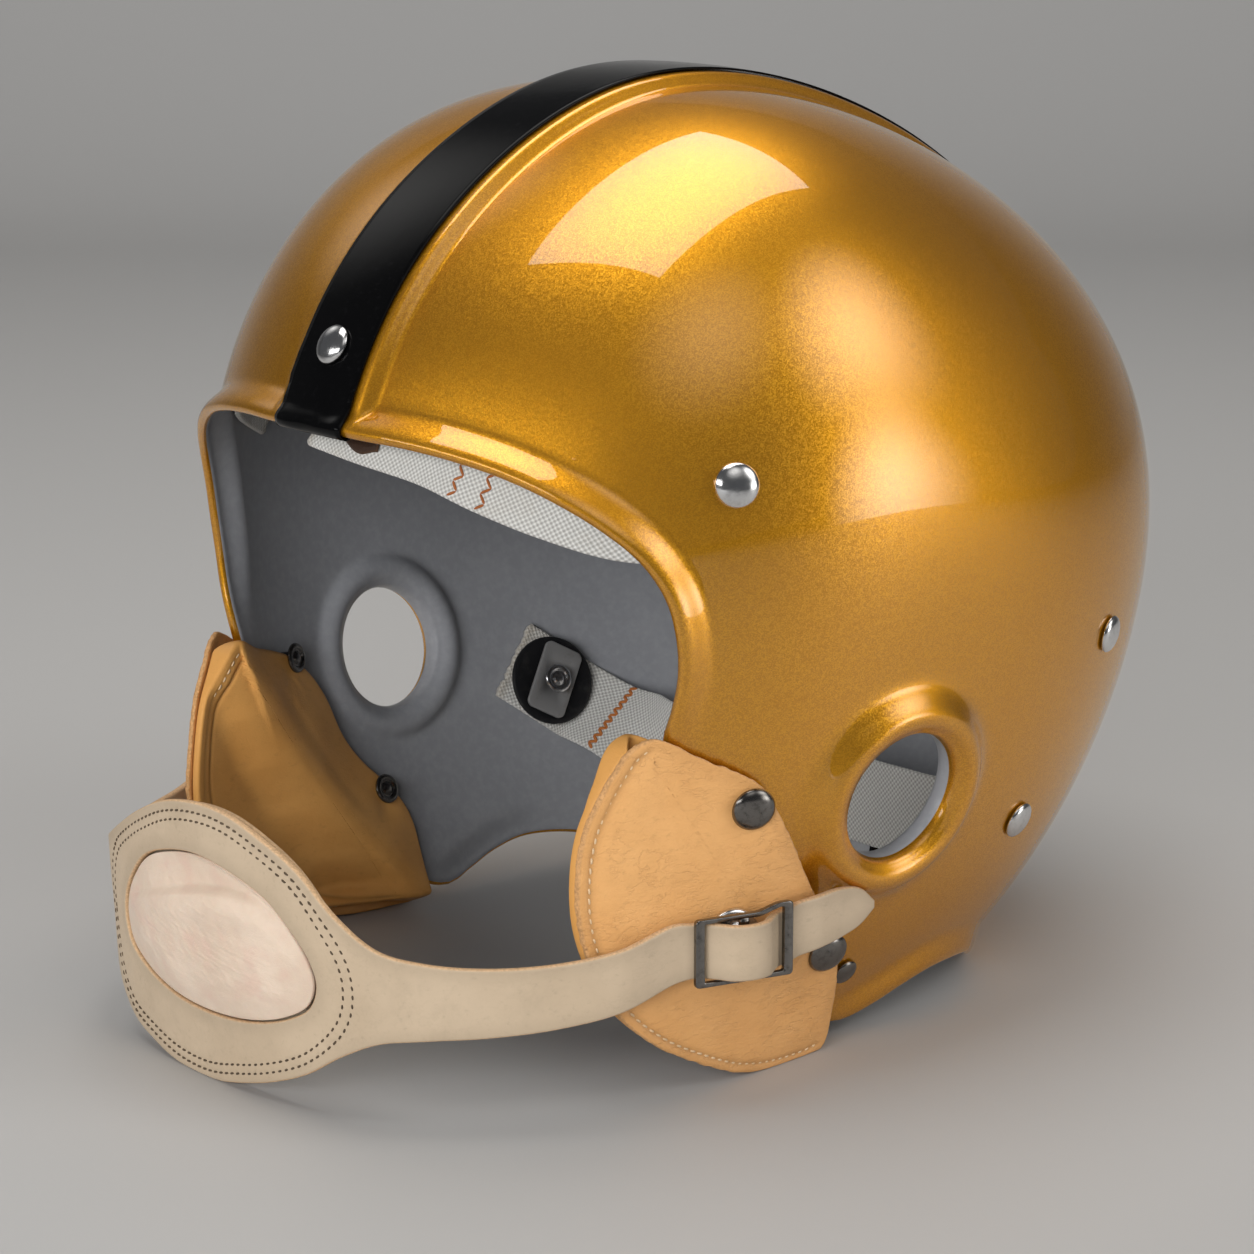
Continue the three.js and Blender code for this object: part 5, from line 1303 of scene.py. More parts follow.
# %% Webs
WEB_THICKNESS, BROW_WEB_WIDTH = 1.8, 30.0
FRAYED = 4.0  # length of a web's soiled and frayed end
WEAVE_PITCH = 1.45
BROW_WEBS = {  # x, y, z, depth
    "left": [(-11, -95, 171, 6.5), (10, -96, 169.5, 6.5), (33, -92, 166, 6.3), (50, -87, 160.5, 5.4),
             (66, -79, 155, 5), (80, -68, 150.5, 4.6), (91, -54, 150, 4.4), (98, -38, 151, 4.3)],
    "right": [(11, -94, 176.5, 8.8), (-10, -95, 177.5, 8.8), (-33, -91, 178.5, 7.6), (-66, -77, 173.5, 5.4),
              (-88, -58, 161, 4.6), (-98, -40, 152, 4.3)],
}


def cotton_web():
    f = Finish("cotton_web", Specular_IOR_Level=0.2, Sheen_Weight=0.25, Sheen_Roughness=0.5)
    uv = f.node("ShaderNodeUVMap", {"uv_map": "place"})
    u, v = (f.node("ShaderNodeSeparateXYZ", None, outlet, Vector=uv) for outlet in (0, 1))
    turns = 2 * math.pi / WEAVE_PITCH
    wobble = f.noise(900, 2) * 1.2
    weave = (u * turns + wobble).sine() * (v * turns).sine()
    lines = (v * (2 * turns)).sine().absolute()
    fibre = f.noise(2600, 4, 0.6)
    soil = f.noise(38, 4, 0.6)
    # Painted shade: the cloth is darker where the weave's relief dips, for the shade between the threads.
    base = f.mix(weave.between(-1, 1), (0.36, 0.35, 0.325), (0.70, 0.69, 0.655))
    base = f.mix(soil.between(0.48, 0.78, 0.0, 0.5), base, (0.42, 0.37, 0.29))
    frayed = f.attribute("end").between(0.0, 1.0)
    base = f.mix((1.0 - frayed) * 0.45, base, (0.30, 0.25, 0.18))
    f.set(Base_Color=base, Roughness=0.86 + fibre * 0.1,
          Normal=f.bump(weave * 0.5 + lines * 0.2 + fibre * 0.55, 0.55, 0.0005))
    return f.material


COTTON = cotton_web()


def web_piece(name, centres, across, facing, width):
    """A flat web along a line: woven relief on both faces, soft edges, slightly frayed ends."""
    measure = lengths(centres)
    total = measure[-1]
    at = np.linspace(0, total, int(total / (WEAVE_PITCH / 2)) + 1)
    centre, side, out = (along(a, measure, at) for a in (centres, across, facing))
    side, out = unit(side), unit(out)
    across_web = np.linspace(-0.92, 0.92, int(width / (WEAVE_PITCH / 2)))
    share = np.concatenate([[-1, -0.985, -0.96], across_web, [0.96, 0.985, 1]])
    half = width / 2
    edge = half * (1 - np.abs(share))[None]
    rounded = bevel(edge, 0.85)
    u, v = np.broadcast_arrays(at[:, None], share[None] * half)
    threads = np.sin(2 * math.pi * u / WEAVE_PITCH / 2) * np.sin(2 * math.pi * v / WEAVE_PITCH / 2)
    worn = ripple(np.stack([u, v], -1), 17, 31) * 0.10
    ragged = ripple(np.stack([v[0], v[0] * 0], -1), 2.5, 33) * 0.3
    stretch = np.clip(1 - u / 3, 0, 1) * ragged - np.clip(1 - (total - u) / 3, 0, 1) * ragged[::-1]
    run = unit(np.gradient(centre, axis=0))
    mid = centre[:, None] + side[:, None] * v[..., None] + run[:, None] * stretch[..., None]
    front = mid + out[:, None] * (-rounded + threads * 0.10 + worn)[..., None]
    back = mid - out[:, None] * (WEB_THICKNESS - rounded + threads * 0.10)[..., None]
    uv = np.stack([u.ravel(), v.ravel()], -1)
    end = np.minimum(u, total - u).ravel() / FRAYED
    sheet(name, grid_faces(*u.shape), front, back, COTTON, "cotton_web", end=end, place=uv)
    return centre, side, out, at


def brow_web(rows):
    """Centre line, sideways and outward directions of a web that follows the shell's inside."""
    rows = np.array(rows, float)
    placed = np.column_stack([on_shell(rows[:, :3]), rows[:, 3]])
    path = smooth_path(placed, 24)
    surface = on_shell(path[:, :3])
    normal = shell_normal(surface)
    tangent = unit(np.gradient(surface, axis=0))
    across = unit(np.cross(normal, tangent))
    return surface - normal * path[:, 3:4], across, normal


def zigzag(centre, side, out, at, where, width, depth, teeth, gauge=0.75):
    """A zigzag of rust thread across a web: slanted stitches whose ends meet, at a depth in the web."""
    place = np.linspace(-0.95, 0.95, 2 * teeth + 1) * width / 2
    swing = np.where(np.arange(2 * teeth + 1) % 2 == 0, -1.1, 1.1)
    c, s, o = (along(a, at, where + swing) for a in (centre, side, out))
    points = c + unit(s) * place[:, None] - unit(o) * depth
    middle = (points[1:] + points[:-1]) / 2
    ahead = unit(points[1:] - points[:-1])
    normal = unit(o[1:]) * (1 if depth < WEB_THICKNESS / 2 else -1)
    normal = unit(normal - ahead * np.einsum("ij,ij->i", normal, ahead)[:, None])
    gap = np.linalg.norm(points[1:] - points[:-1], axis=1).mean()
    return bars(middle, ahead, normal, gap * 1.12, gauge, 0.75)


brow_lines = {side: web_piece("brow_web_" + side, *brow_web(rows), BROW_WEB_WIDTH)
              for side, rows in BROW_WEBS.items()}
zigzags = [zigzag(*brow_lines["left"], where, BROW_WEB_WIDTH, -0.1, 7) for where in (54.0, 62.0)]
thread("brow_web_stitches", joined_bodies(*zigzags), RUST, "cotton_web")

# %% [markdown]
# The nape web is anchored low on both sides, under a rubber washer and a small steel plate, and
# swings freely across the back of the head between them. Its line is a curve through a few
# places, and the direction that it faces turns from the wall to upright on the way.

# %% Nape web with its anchors
WEB_GAP, NAPE_WEB_WIDTH = 1.1, 25.0
NAPE_RUN = np.array([-13.0, 8.0, -4.5])
NAPE_ROWS = [(68, 68.5, 39.5), (40, 69.5, 38.5), (0, 70, 38.5)]
ANCHOR = on_shell(np.array([97.0, 54.5, 50.5]))
ANCHOR_AXIS = shell_normal(ANCHOR)


def nape_line():
    """Centre line and directions: flat on the wall at both ends, upright across the middle."""
    run = unit(NAPE_RUN - ANCHOR_AXIS * (NAPE_RUN @ ANCHOR_AXIS))
    seat = ANCHOR - ANCHOR_AXIS * (WALL + WEB_GAP)
    half = [seat + run * reach for reach in (-13, 0, 13)] + [np.array(row, float) for row in NAPE_ROWS]
    rows = np.array(half + [p * [-1, 1, 1] for p in half[-2::-1]])
    path = smooth_path(rows, 30)
    tangent = unit(np.gradient(path, axis=0))
    near = ease(np.abs(path[:, 0]), 45, 82)[:, None]
    wall = np.where(path[:, :1] < 0, mirror(ANCHOR_AXIS), ANCHOR_AXIS)
    middle = unit(np.column_stack([path[:, 0] / HALF_WIDTH, np.ones(len(path)), np.zeros(len(path))]))
    facing = middle + (wall - middle) * near
    normal = unit(facing - tangent * np.einsum("ij,ij->i", facing, tangent)[:, None])
    return path, np.cross(normal, tangent), normal


nape_web = web_piece("nape_web", *nape_line(), NAPE_WEB_WIDTH)
nape_length = float(nape_web[-1][-1])
zigzags = [zigzag(*nape_web, where, NAPE_WEB_WIDTH, WEB_THICKNESS + 0.1, 9, 1.0)
           for where in (37.0, nape_length - 37.0)]
thread("nape_web_stitches", joined_bodies(*zigzags), RUST, "cotton_web")
print("nape web", round(nape_length), "mm long")

WASHER_TOP = -WALL - WEB_GAP - WEB_THICKNESS - 0.7
WASHER = [0, WASHER_TOP] + np.array([  # radius, height over the face that the web lies on
    (2.3, -0.1), (2.6, 0), (12.5, 0), (12.9, -0.25), (13, -0.7), (12.9, -1.3), (12.3, -1.58), (11.2, -1.5),
    (10.6, -1.3), (2.6, -1.3), (2.3, -1.1), (2.3, -0.1),
])


def rubber():
    f = Finish("black_rubber", Specular_IOR_Level=0.4)
    dust = f.noise(300, 4, 0.6)
    f.set(Base_Color=f.mix(dust.between(0.5, 0.8, 0, 0.5), (0.009, 0.009, 0.01), (0.05, 0.048, 0.045)),
          Roughness=0.38 + dust * 0.2, Normal=f.bump(dust, 0.1, 0.0005))
    return f.material


def grey_steel():
    f = Finish("grey_steel", Metallic=0.55)
    grain = f.noise(900, 3, 0.6, where=f.node("ShaderNodeMapping", Vector=f.place, Scale=(1.0, 0.15, 1.0)))
    stain = f.noise(240, 4, 0.6)
    f.set(Base_Color=f.mix(stain.between(0.5, 0.8, 0, 0.7), (0.34, 0.335, 0.33), (0.20, 0.175, 0.15)),
          Roughness=0.42 + grain * 0.15, Normal=f.bump(grain, 0.08, 0.0003))
    return f.material


def rounded_slab(length, width, corner, thickness, radius, bore):
    """A flat plate with round corners, bevelled edges and a hole: rings from the bore and back."""
    turn = np.linspace(0, 2 * math.pi, 48, endpoint=False)
    spoke = np.stack([np.cos(turn), np.sin(turn)], -1)
    half = np.array([length, width]) / 2 - corner
    outline = np.clip(spoke * 200, -half, half) + spoke * corner
    sine, cosine = np.sin(np.radians([0, 30, 60, 90])), np.cos(np.radians([0, 30, 60, 90]))
    inset = radius * np.concatenate([1 - sine, 1 - cosine])[:, None, None]
    heights = np.concatenate([radius * (cosine - 1), radius * (1 - sine) - thickness])
    hole = spoke[None] * bore
    flat = np.concatenate([hole, outline - spoke * inset, hole, hole])
    heights = np.concatenate([[0], heights, [-thickness, 0]])
    grid = np.concatenate([flat, np.broadcast_to(heights[:, None, None], (*flat.shape[:2], 1))], -1)
    return grid.reshape(-1, 3), grid_faces(*grid.shape[:2], wrap_cols=True)


def stood(points, place, axis):
    """Points about the z axis, carried to a place so that z follows an axis, the shortest way."""
    axis = unit(np.asarray(axis, float))
    turn = np.cross([0.0, 0.0, 1.0], axis)
    k = np.array([[0, -turn[2], turn[1]], [turn[2], 0, -turn[0]], [-turn[1], turn[0], 0]])
    rotation = np.eye(3) + k + k @ k / (1 + axis[2])
    return place + points @ rotation.T


PLATE_TURN = math.radians(-19)
spin = np.array(Matrix.Rotation(PLATE_TURN, 3, "Z"))
PLATE_LENGTH, PLATE_WIDTH, PLATE_THICKNESS, PLATE_BORE = 21, 12.5, 1.2, 2.3
plate_points, plate_quads = rounded_slab(PLATE_LENGTH, PLATE_WIDTH, 2.2, PLATE_THICKNESS, 0.35, PLATE_BORE)
plate_points = plate_points @ spin.T + [0, 0, WASHER_TOP - 1.6 - CLEARANCE]
plate_points = stood(plate_points, ANCHOR, ANCHOR_AXIS)
washer_points, washer_quads = turned(WASHER, ANCHOR, ANCHOR_AXIS, 48)
RUBBER, STEEL = rubber(), grey_steel()
for side, turn_over in BOTH_SIDES:
    washer, plate = "nape_washer_" + side, "nape_plate_" + side
    piece(washer, turn_over(washer_points), washer_quads, RUBBER, [washer], "black_rubber")
    piece(plate, turn_over(plate_points), plate_quads, STEEL, [plate], "grey_steel")

# %% [markdown]
# A leather tab lies between the shell and the two brow webs, under the front rivet. Its near-black
# brown is partly its own dark leather and partly painted shade, for the tape's shadow over it. It is a
# plain grid laid on the inside of the form, with its lower corner cut away.

# %% Brow tab
TAB_HALF, TAB_LOW, TAB_TOP, TAB_UNDER, TAB_THICKNESS = 16.0, 155.0, 186.0, 4.6, 1.5
tab_x, tab_z = np.linspace(-TAB_HALF, TAB_HALF, 49), np.linspace(TAB_LOW, TAB_TOP, 41)
tab_flat = np.stack(np.meshgrid(tab_x, tab_z), -1).reshape(-1, 2)
x, z = tab_flat.T
tab_edge = np.minimum.reduce([TAB_HALF - np.abs(x), z - TAB_LOW, TAB_TOP - z])
cut_away = 5.0 * (1 - ease(x, -2, 10)) + 1.5 * ease(x, 10, 16)
tab_flat[:, 1] = z + cut_away * (1 - ease(z, TAB_LOW, TAB_LOW + 20))
tab_base = np.insert(tab_flat, 1, -95.0, axis=1)
tab_bevel, tab_wave = bevel(tab_edge, 0.6), ripple(tab_flat, 9, 41) * 0.06 - 0.06
tab_front = on_shell(tab_base, -TAB_UNDER - tab_bevel)
tab_back = on_shell(tab_base, tab_bevel - tab_wave - TAB_UNDER - TAB_THICKNESS)
# Painted shade: the tab's leather is darkened nearly to black, partly for the tape's shadow over it.
SHADED_BROWN = leather("brown_leather", (0.05, 0.022, 0.011), (0.032, 0.014, 0.007), (0.08, 0.04, 0.02),
                1.0, 0.5, 0.4)
sheet("brow_tab", grid_faces(41, 49), tab_front, tab_back, SHADED_BROWN, "brown_leather", edge=tab_edge)

# %% [markdown]
# ## Chin strap
# The strap is one leather, cut with a wide cup for the chin and threaded through the buckle. It
# is followed as a line seen from above, with the height of its two edges at each place. The cup
# has a window, so round it the pattern's rows run from the cup's border to the window's border.

# %% Strap line
STRAP_THICKNESS = 2.2
BUCKLE_AT, BUCKLE_TURN = np.array([101.9, -50.2, 41.2]), math.radians(15)
STRAP = [  # x, y, top, bottom
    (-107, -41, 47, 36), (-105.5, -45, 49.5, 33.5), (-103, -54, 50, 33.5), (-98.5, -67, 48, 31.8),
    (-92, -80.5, 46, 29.5), (-84, -94.5, 46, 29), (-74, -108.5, 47, 28.5), (-62, -122, 48, 25),
    (-52, -129.5, 51.5, 14), (-40, -134.3, 57.5, 6), (-28, -136.8, 64, 2.5), (-14, -138.5, 70, -0.2),
    (0, -139, 72.6, -0.5), (12, -138.7, 72.2, 1.8), (24, -137.6, 68.5, 5), (35.5, -135.5, 62.3, 9.5),
    (46, -132.4, 52, 16), (55, -127.8, 44.8, 20.5), (64, -120.2, 41.8, 22), (74, -108.5, 40.4, 22.8),
    (84, -94.5, 41, 24.6), (92, -80.5, 43.6, 27.8),
]
IN_BUCKLE = [  # along, out, top, bottom
    (-17, -2.8, 47.5, 32.4), (-13.6, -1.7, 47.5, 33.4), (-11.2, -1.4, 47.5, 33.4), (-8.2, 1.2, 47.5, 33.4),
    (-5, 4.4, 47.5, 33.4), (0, 5.8, 47.5, 33.4), (5, 4.4, 47.5, 33.4), (8.2, 1.2, 47.5, 33.4),
    (11.2, -1.4, 47.5, 33.4), (13.6, -1.7, 47.5, 33.6), (17, -2.8, 48.4, 34.4),
]
STRAP_TAIL = [(104.4, -27, 49, 35.2), (104, -18, 49.2, 36.4), (103.6, -11, 47.6, 38.2),
              (103.3, -6, 43.4, 41.4)]
WINDOW = [(0, 59), (13, 57.3), (25, 53), (33.5, 46), (38.5, 39.5), (40.3, 33.5), (38, 27.5), (30, 22.8),
          (17, 19.3), (0, 18)]
WINDOW_MIDDLE, CUP_HALF_SPAN, CUP_LEAN, CUP_MIDDLE_HEIGHT = 37.0, 52.0, 0.05, 36.0
CUP_CUT = 58.0
PER_STRAP_ROW, CUP_ROW = 20, 12  # the cup's middle is this row of the strap


def in_buckle(along_it, up, out):
    """From along, up and out in the buckle's plane to the helmet's frame."""
    sine, cosine = math.sin(BUCKLE_TURN), math.cos(BUCKLE_TURN)
    along_it, up, out = np.broadcast_arrays(along_it, up, out)
    return BUCKLE_AT + np.stack([along_it * sine + out * cosine, along_it * cosine - out * sine, up], -1)


def strap_line():
    """Closely spaced rows: x, y, top and bottom along the strap, and the length up to each."""
    along_it, out, top, bottom = np.array(IN_BUCKLE, float).T
    through = np.column_stack([in_buckle(along_it, 0 * out, out)[:, :2], top, bottom])
    rows = np.insert(np.vstack([STRAP, through, STRAP_TAIL]), 2, 0, axis=1)
    path = smooth_path(rows, PER_STRAP_ROW)
    return path, lengths(path)


LINE, LINE_LENGTH = strap_line()
LINE_END = LINE_LENGTH[-1]
CUP_MIDDLE = LINE_LENGTH[PER_STRAP_ROW * CUP_ROW]
line_tangent = unit(np.gradient(LINE[:, :2], LINE_LENGTH, axis=0))
LINE_NORMAL = np.stack([line_tangent[:, 1], -line_tangent[:, 0]], -1)


def strap_edges(s):
    row = along(LINE, LINE_LENGTH, s)
    return row[..., 3], row[..., 4]


def on_strap(s, height, depth):
    """A point of the strap at a length, a height and a depth behind its outer face."""
    s, height, depth = np.broadcast_arrays(s, height, depth)
    row = along(LINE[:, :2], LINE_LENGTH, s)
    normal = unit(along(LINE_NORMAL, LINE_LENGTH, s))
    near_cup = 1 - ease(np.abs(s - CUP_MIDDLE), CUP_HALF_SPAN, 2 * CUP_HALF_SPAN)
    lean = CUP_LEAN * (height - CUP_MIDDLE_HEIGHT) * near_cup
    flat = row + normal * (lean - depth)[..., None]
    return np.concatenate([flat, height[..., None]], -1)


whole_window = np.array(WINDOW + [(-a, height) for a, height in WINDOW[-2:0:-1]], float)
cup_window = smooth_path(whole_window, 11, closed=True)[:-1] + [CUP_MIDDLE, 0]
print("strap", round(float(LINE_END)), "mm long")

# %% [markdown]
# The strap's pattern is three patches. The two arms are grids whose columns crowd towards the
# cut edges. The cup between them is a ring from its border to the window. Their common borders
# have the same points.

# %% Strap pattern
NEAR_EDGE = np.array([0, 0.08, 0.2, 0.36, 0.56, 0.8, 1.1, 1.6, 2.3])
MIDDLE_COLUMNS = 8


def cross_heights(s):
    """Heights of the pattern's columns at each length, crowded towards both cut edges."""
    top, bottom = strap_edges(s)
    width = (top - bottom)[:, None]
    near = NEAR_EDGE[None] * np.minimum(1, width / 8)
    middle = near[:, -1:] + (width - 2 * near[:, -1:]) * np.linspace(0, 1, MIDDLE_COLUMNS + 2)[None, 1:-1]
    up = np.concatenate([near, middle, width - near[:, ::-1]], axis=1)
    return bottom[:, None] + up


def arm(start, end):
    """A grid of one arm of the strap, with crowded rows at its ends."""
    inner = np.arange(math.ceil(start + 2.6), end - 2.6, 1.2)
    at = np.concatenate([start + NEAR_EDGE, inner, end - NEAR_EDGE[::-1]])
    return np.stack(np.broadcast_arrays(at[:, None], cross_heights(at)), -1)


def cup_ring():
    """Rows from the cup's border, round all four sides, inward to the window's border."""
    s1, s2 = CUP_MIDDLE - CUP_CUT, CUP_MIDDLE + CUP_CUT
    run = np.linspace(s1, s2, 97)
    top, bottom = strap_edges(run)
    ends = [np.column_stack([np.full(np.shape(heights), s), heights])
            for s, heights in ((s, cross_heights(np.array([s]))[0]) for s in (s1, s2))]
    low_side, up_side = np.column_stack([run, bottom]), np.column_stack([run, top])
    border = np.concatenate([low_side[:-1], ends[1][:-1], up_side[:0:-1], ends[0][:0:-1]])
    turn_in, turn_out = (np.arctan2((loop[:, 1] - WINDOW_MIDDLE) / 0.55, loop[:, 0] - CUP_MIDDLE)
                         for loop in (cup_window, border))
    order = np.argsort(turn_in)
    inner = np.stack([np.interp(turn_out, turn_in[order], cup_window[order, k], period=2 * math.pi)
                      for k in range(2)], -1)
    reach = np.linalg.norm(inner - border, axis=1)[:, None]
    crowded = np.concatenate([NEAR_EDGE, [3.2, 4.2, 5.4]])
    start, stop = crowded[None] / reach, 1 - crowded[None, ::-1] / reach
    steps = np.linspace(0, 1, 14)[None, 1:-1]
    middle = start[:, -1:] + (stop[:, :1] - start[:, -1:]) * steps
    share = np.concatenate([start, middle, stop], axis=1).T
    return border[None] + (inner - border)[None] * share[..., None]


parts = [arm(0.0, CUP_MIDDLE - CUP_CUT), arm(CUP_MIDDLE + CUP_CUT, float(LINE_END)), cup_ring()]
starts = np.cumsum([0] + [part.shape[0] * part.shape[1] for part in parts])
strap_quads = np.concatenate([grid_faces(*part.shape[:2], wrap_cols=part is parts[2], start=start)
                              for part, start in zip(parts, starts)])
strap_flat, strap_quads, _ = weld(np.insert(stacked(parts), 2, 0, axis=1), strap_quads, grid=1e-3)
strap_flat = strap_flat[:, :2]
corners = strap_flat[strap_quads]
turning = np.cross(corners[:, 2] - corners[:, 0], corners[:, 3] - corners[:, 1])
strap_quads[turning < 0] = strap_quads[turning < 0][:, ::-1]


def strap_edge_distance(flat):
    """Distance to the nearest cut edge: top, bottom, ends or window."""
    s, h = flat.T
    top, bottom = strap_edges(s)
    ahead, behind = (strap_edges(np.clip(s + step, 0, LINE_END)) for step in (0.5, -0.5))
    over = (top - h) / np.hypot(1, ahead[0] - behind[0])
    under = (h - bottom) / np.hypot(1, ahead[1] - behind[1])
    near = np.minimum.reduce([over, under, s, LINE_END - s])
    close = np.abs(s - CUP_MIDDLE) < CUP_CUT
    near[close] = np.minimum(near[close], edge_distance(flat[close], cup_window))
    return np.maximum(near, 0)


strap_edge = strap_edge_distance(strap_flat)
strap_s, strap_h = strap_flat.T
cup_share = 1 - ease(np.abs(strap_s - CUP_MIDDLE), 44, 60)
outer_edge = np.minimum(strap_edges(strap_s)[0] - strap_h, strap_h - strap_edges(strap_s)[1])
grooves = sum(np.exp(-(((outer_edge - inset) / 0.5) ** 2)) for inset in (2.6, 4.9)) * 0.16 * cup_share
strap_wave = ripple(strap_flat, 30, 51) * 0.10
strap_bevel = bevel(strap_edge, 0.75)
strap_front = on_strap(strap_s, strap_h, strap_bevel + grooves - strap_wave)
strap_back = on_strap(strap_s, strap_h, STRAP_THICKNESS - strap_bevel - strap_wave)
STRAP_LEATHER = leather("strap_leather", (0.56, 0.44, 0.31), (0.49, 0.38, 0.262), (0.66, 0.43, 0.24),
                        0.45, 0.44, 0.3)
sheet("chin_strap", strap_quads, level(strap_front), level(strap_back), STRAP_LEATHER, "strap_leather",
      edge=strap_edge)

# %% [markdown]
# Two rows of dark thread follow the cup's border and close round at both of its ends.

# %% Cup stitches


def cup_row(inset, half_span):
    """A closed line inside the cup's border whose ends are rounded off at a distance from the middle."""
    reach = np.linspace(-half_span, half_span, 400)
    top, bottom = strap_edges(CUP_MIDDLE + reach)
    slope_t, slope_b = np.gradient(top, reach), np.gradient(bottom, reach)
    upper, lower = top - inset * np.hypot(1, slope_t), bottom + inset * np.hypot(1, slope_b)
    fade = np.clip(1 - (np.abs(reach) / half_span) ** 14, 0, None) ** 0.5
    half = (upper - lower) / 2 * fade
    middle = (upper + lower) / 2
    height = np.concatenate([middle + half, (middle - half)[::-1][1:]])
    s = CUP_MIDDLE + np.concatenate([reach, reach[::-1][1:]])
    normal = unit(np.insert(along(LINE_NORMAL, LINE_LENGTH, s), 2, 0, axis=1))
    return on_strap(s, height, 0.05), normal


cup_stitches = [stitch_run(*cup_row(inset, span), 2.35, 1.55, 0.6, 0.5, lift=0.05, slant=0.12)
                for inset, span in ((2.6, 51.0), (4.9, 48.4))]
thread("chin_strap_stitches", joined_bodies(*cup_stitches), DUSKY, "strap_leather")

# %% [markdown]
# Behind the cup lies a second leather of the same outline, sewn on with the same thread. The soft
# pad is held between the two and swells out through the window.

# %% Cup backing
BACKING_THICKNESS, BACKING_INSET, BACKING_SPACE, BACKING_SAG = 1.8, 0.8, 0.5, 2.5
back_ends = CUP_HALF_SPAN - NEAR_EDGE
back_reach = np.concatenate([-back_ends, np.linspace(-49, 49, 110), back_ends[::-1]])
back_top, back_bottom = strap_edges(CUP_MIDDLE + back_reach)
back_fade = np.sqrt(np.maximum(1 - np.abs(back_reach / (CUP_HALF_SPAN + 2)) ** 6, 0.08))
back_half = ((back_top - back_bottom) / 2 - BACKING_INSET) * back_fade
near_side = np.array([1, 0.9965, 0.99, 0.98, 0.965])
back_share = np.concatenate([-near_side, np.linspace(-0.94, 0.94, 40), near_side[::-1]])
back_height = ((back_top + back_bottom) / 2)[:, None] + back_half[:, None] * back_share
back_edge = np.minimum(back_half[:, None] * (1 - np.abs(back_share)),
                       CUP_HALF_SPAN - np.abs(back_reach)[:, None])
sag = BACKING_SAG * back_fade[:, None] * (1 - np.abs(back_share)) * np.ones_like(back_height)
back_place = CUP_MIDDLE + back_reach[:, None] + back_height * 0
back_depth = STRAP_THICKNESS + BACKING_SPACE + sag
back_bevel = bevel(back_edge, 0.7)
faces = [level(on_strap(back_place, back_height, back_depth + depth))
         for depth in (back_bevel, BACKING_THICKNESS - back_bevel)]
sheet("cup_backing", grid_faces(*back_height.shape), *faces, STRAP_LEATHER, "strap_leather",
      edge=back_edge.ravel())

# %% [markdown]
# The pad's skin is thin and soft. Its lower part is full. Above a curved crease it lies further
# back, and fine wrinkles run over it.

# %% Chin pad
PAD_BULGE = 3.5
CREASE = [  # along the cup, height
    (-44, 35), (-28, 41.5), (-14.5, 46), (1.5, 50.3), (15, 52), (25, 50.5), (32, 46.5), (38, 41.5), (42, 37),
]


def pad_front(flat, share):
    """Depth of the pad's front: a dome, lower above the crease, with folds and fine wrinkles."""
    along_cup, height = flat[:, 0] - CUP_MIDDLE, flat[:, 1]
    dome = -PAD_BULGE * (1 - share**3) + 0.6
    above = height - np.interp(along_cup, *smooth_path(CREASE, 10).T)
    strength = ease(along_cup, -30, 8)
    set_back = (1.2 + 2.8 * strength) * ease(above, -1.0, 1.6)
    brow = -0.9 * strength * np.exp(-(((above + 4.0) / 3.2) ** 2))
    hollow = 1.6 * ease(-along_cup, 12, 40) * ease(-height, -40, -20)
    soft = ripple(flat, 16, 61) * 0.14 + ripple(flat * [1, 1.7], 5.5, 62) * 0.08
    soft = soft + ripple(flat * [1, 2.0], 2.6, 63) * 0.04
    return dome + (set_back + brow + hollow) * (1 - share**8) + soft * (1 - share**6)


window_flat = cup_window - [CUP_MIDDLE, WINDOW_MIDDLE]
PAD_REACH = 0.975  # the pad stops this share of the way to the window's border
pad_share = np.concatenate([np.linspace(0, 0.9, 50), [0.92, 0.935, 0.95, 0.96, 0.968, PAD_REACH]])
pad_flat = window_flat[None] * pad_share[:, None, None] + [CUP_MIDDLE, WINDOW_MIDDLE]
pad_at = pad_flat.reshape(-1, 2)
pad_reach = np.repeat(pad_share / PAD_REACH, len(window_flat))
front_depth = np.minimum(pad_front(pad_at, pad_reach), 1.5)
back_depth = STRAP_THICKNESS + 0.25 - 0.35 * pad_reach**4
pad_quads = grid_faces(*pad_flat.shape[:2], wrap_cols=True)
pad_faces = [on_strap(*pad_at.T, depth) for depth in (front_depth, back_depth)]


def soft_skin():
    f = Finish("soft_pad", Specular_IOR_Level=0.35, Subsurface_Weight=0.06, Subsurface_Scale=0.002,
               Sheen_Weight=0.12)
    cloud = f.noise(60, 4, 0.6)
    rosy = f.noise(120, 3)
    fine = f.noise(950, 5, 0.65)
    bent = f.vector("SCALE", i0=f.noise(300, 3, outlet=1), Scale=0.004)
    cracks = f.cells(820, "DISTANCE_TO_EDGE", where=f.vector("ADD", i0=f.place, i1=bent))
    base = f.mix(cloud.between(0.3, 0.7), (0.72, 0.58, 0.46), (0.64, 0.50, 0.385))
    base = f.mix(rosy.between(0.5, 0.75, 0, 0.4), base, (0.68, 0.45, 0.37))
    height = fine * 0.5 + cracks.between(0.0, 0.12) * 0.4
    f.set(Base_Color=base, Roughness=0.52 + fine * 0.15, Normal=f.bump(height, 0.22, 0.0007))
    return f.material


made = sheet("chin_pad", pad_quads, *pad_faces, soft_skin(), "soft_pad")

# %% [markdown]
# ## Buckle and snaps
# The buckle is one frame of nickelled steel: two rails, two end bars and a middle bar, with
# rounded corners and a stepped top rail. It was stamped from plate, so the frame is made as a ring
# between an outer and an inner outline, with rounded edges, and the middle bar is set into it.

# %% Buckle
BUCKLE_LENGTH, BUCKLE_HEIGHT, BUCKLE_BAR, BUCKLE_THICKNESS = 27.0, 19.0, 2.6, 1.8
TOP_BAR_DIP, BUCKLE_RAIL = 1.6, 1.3


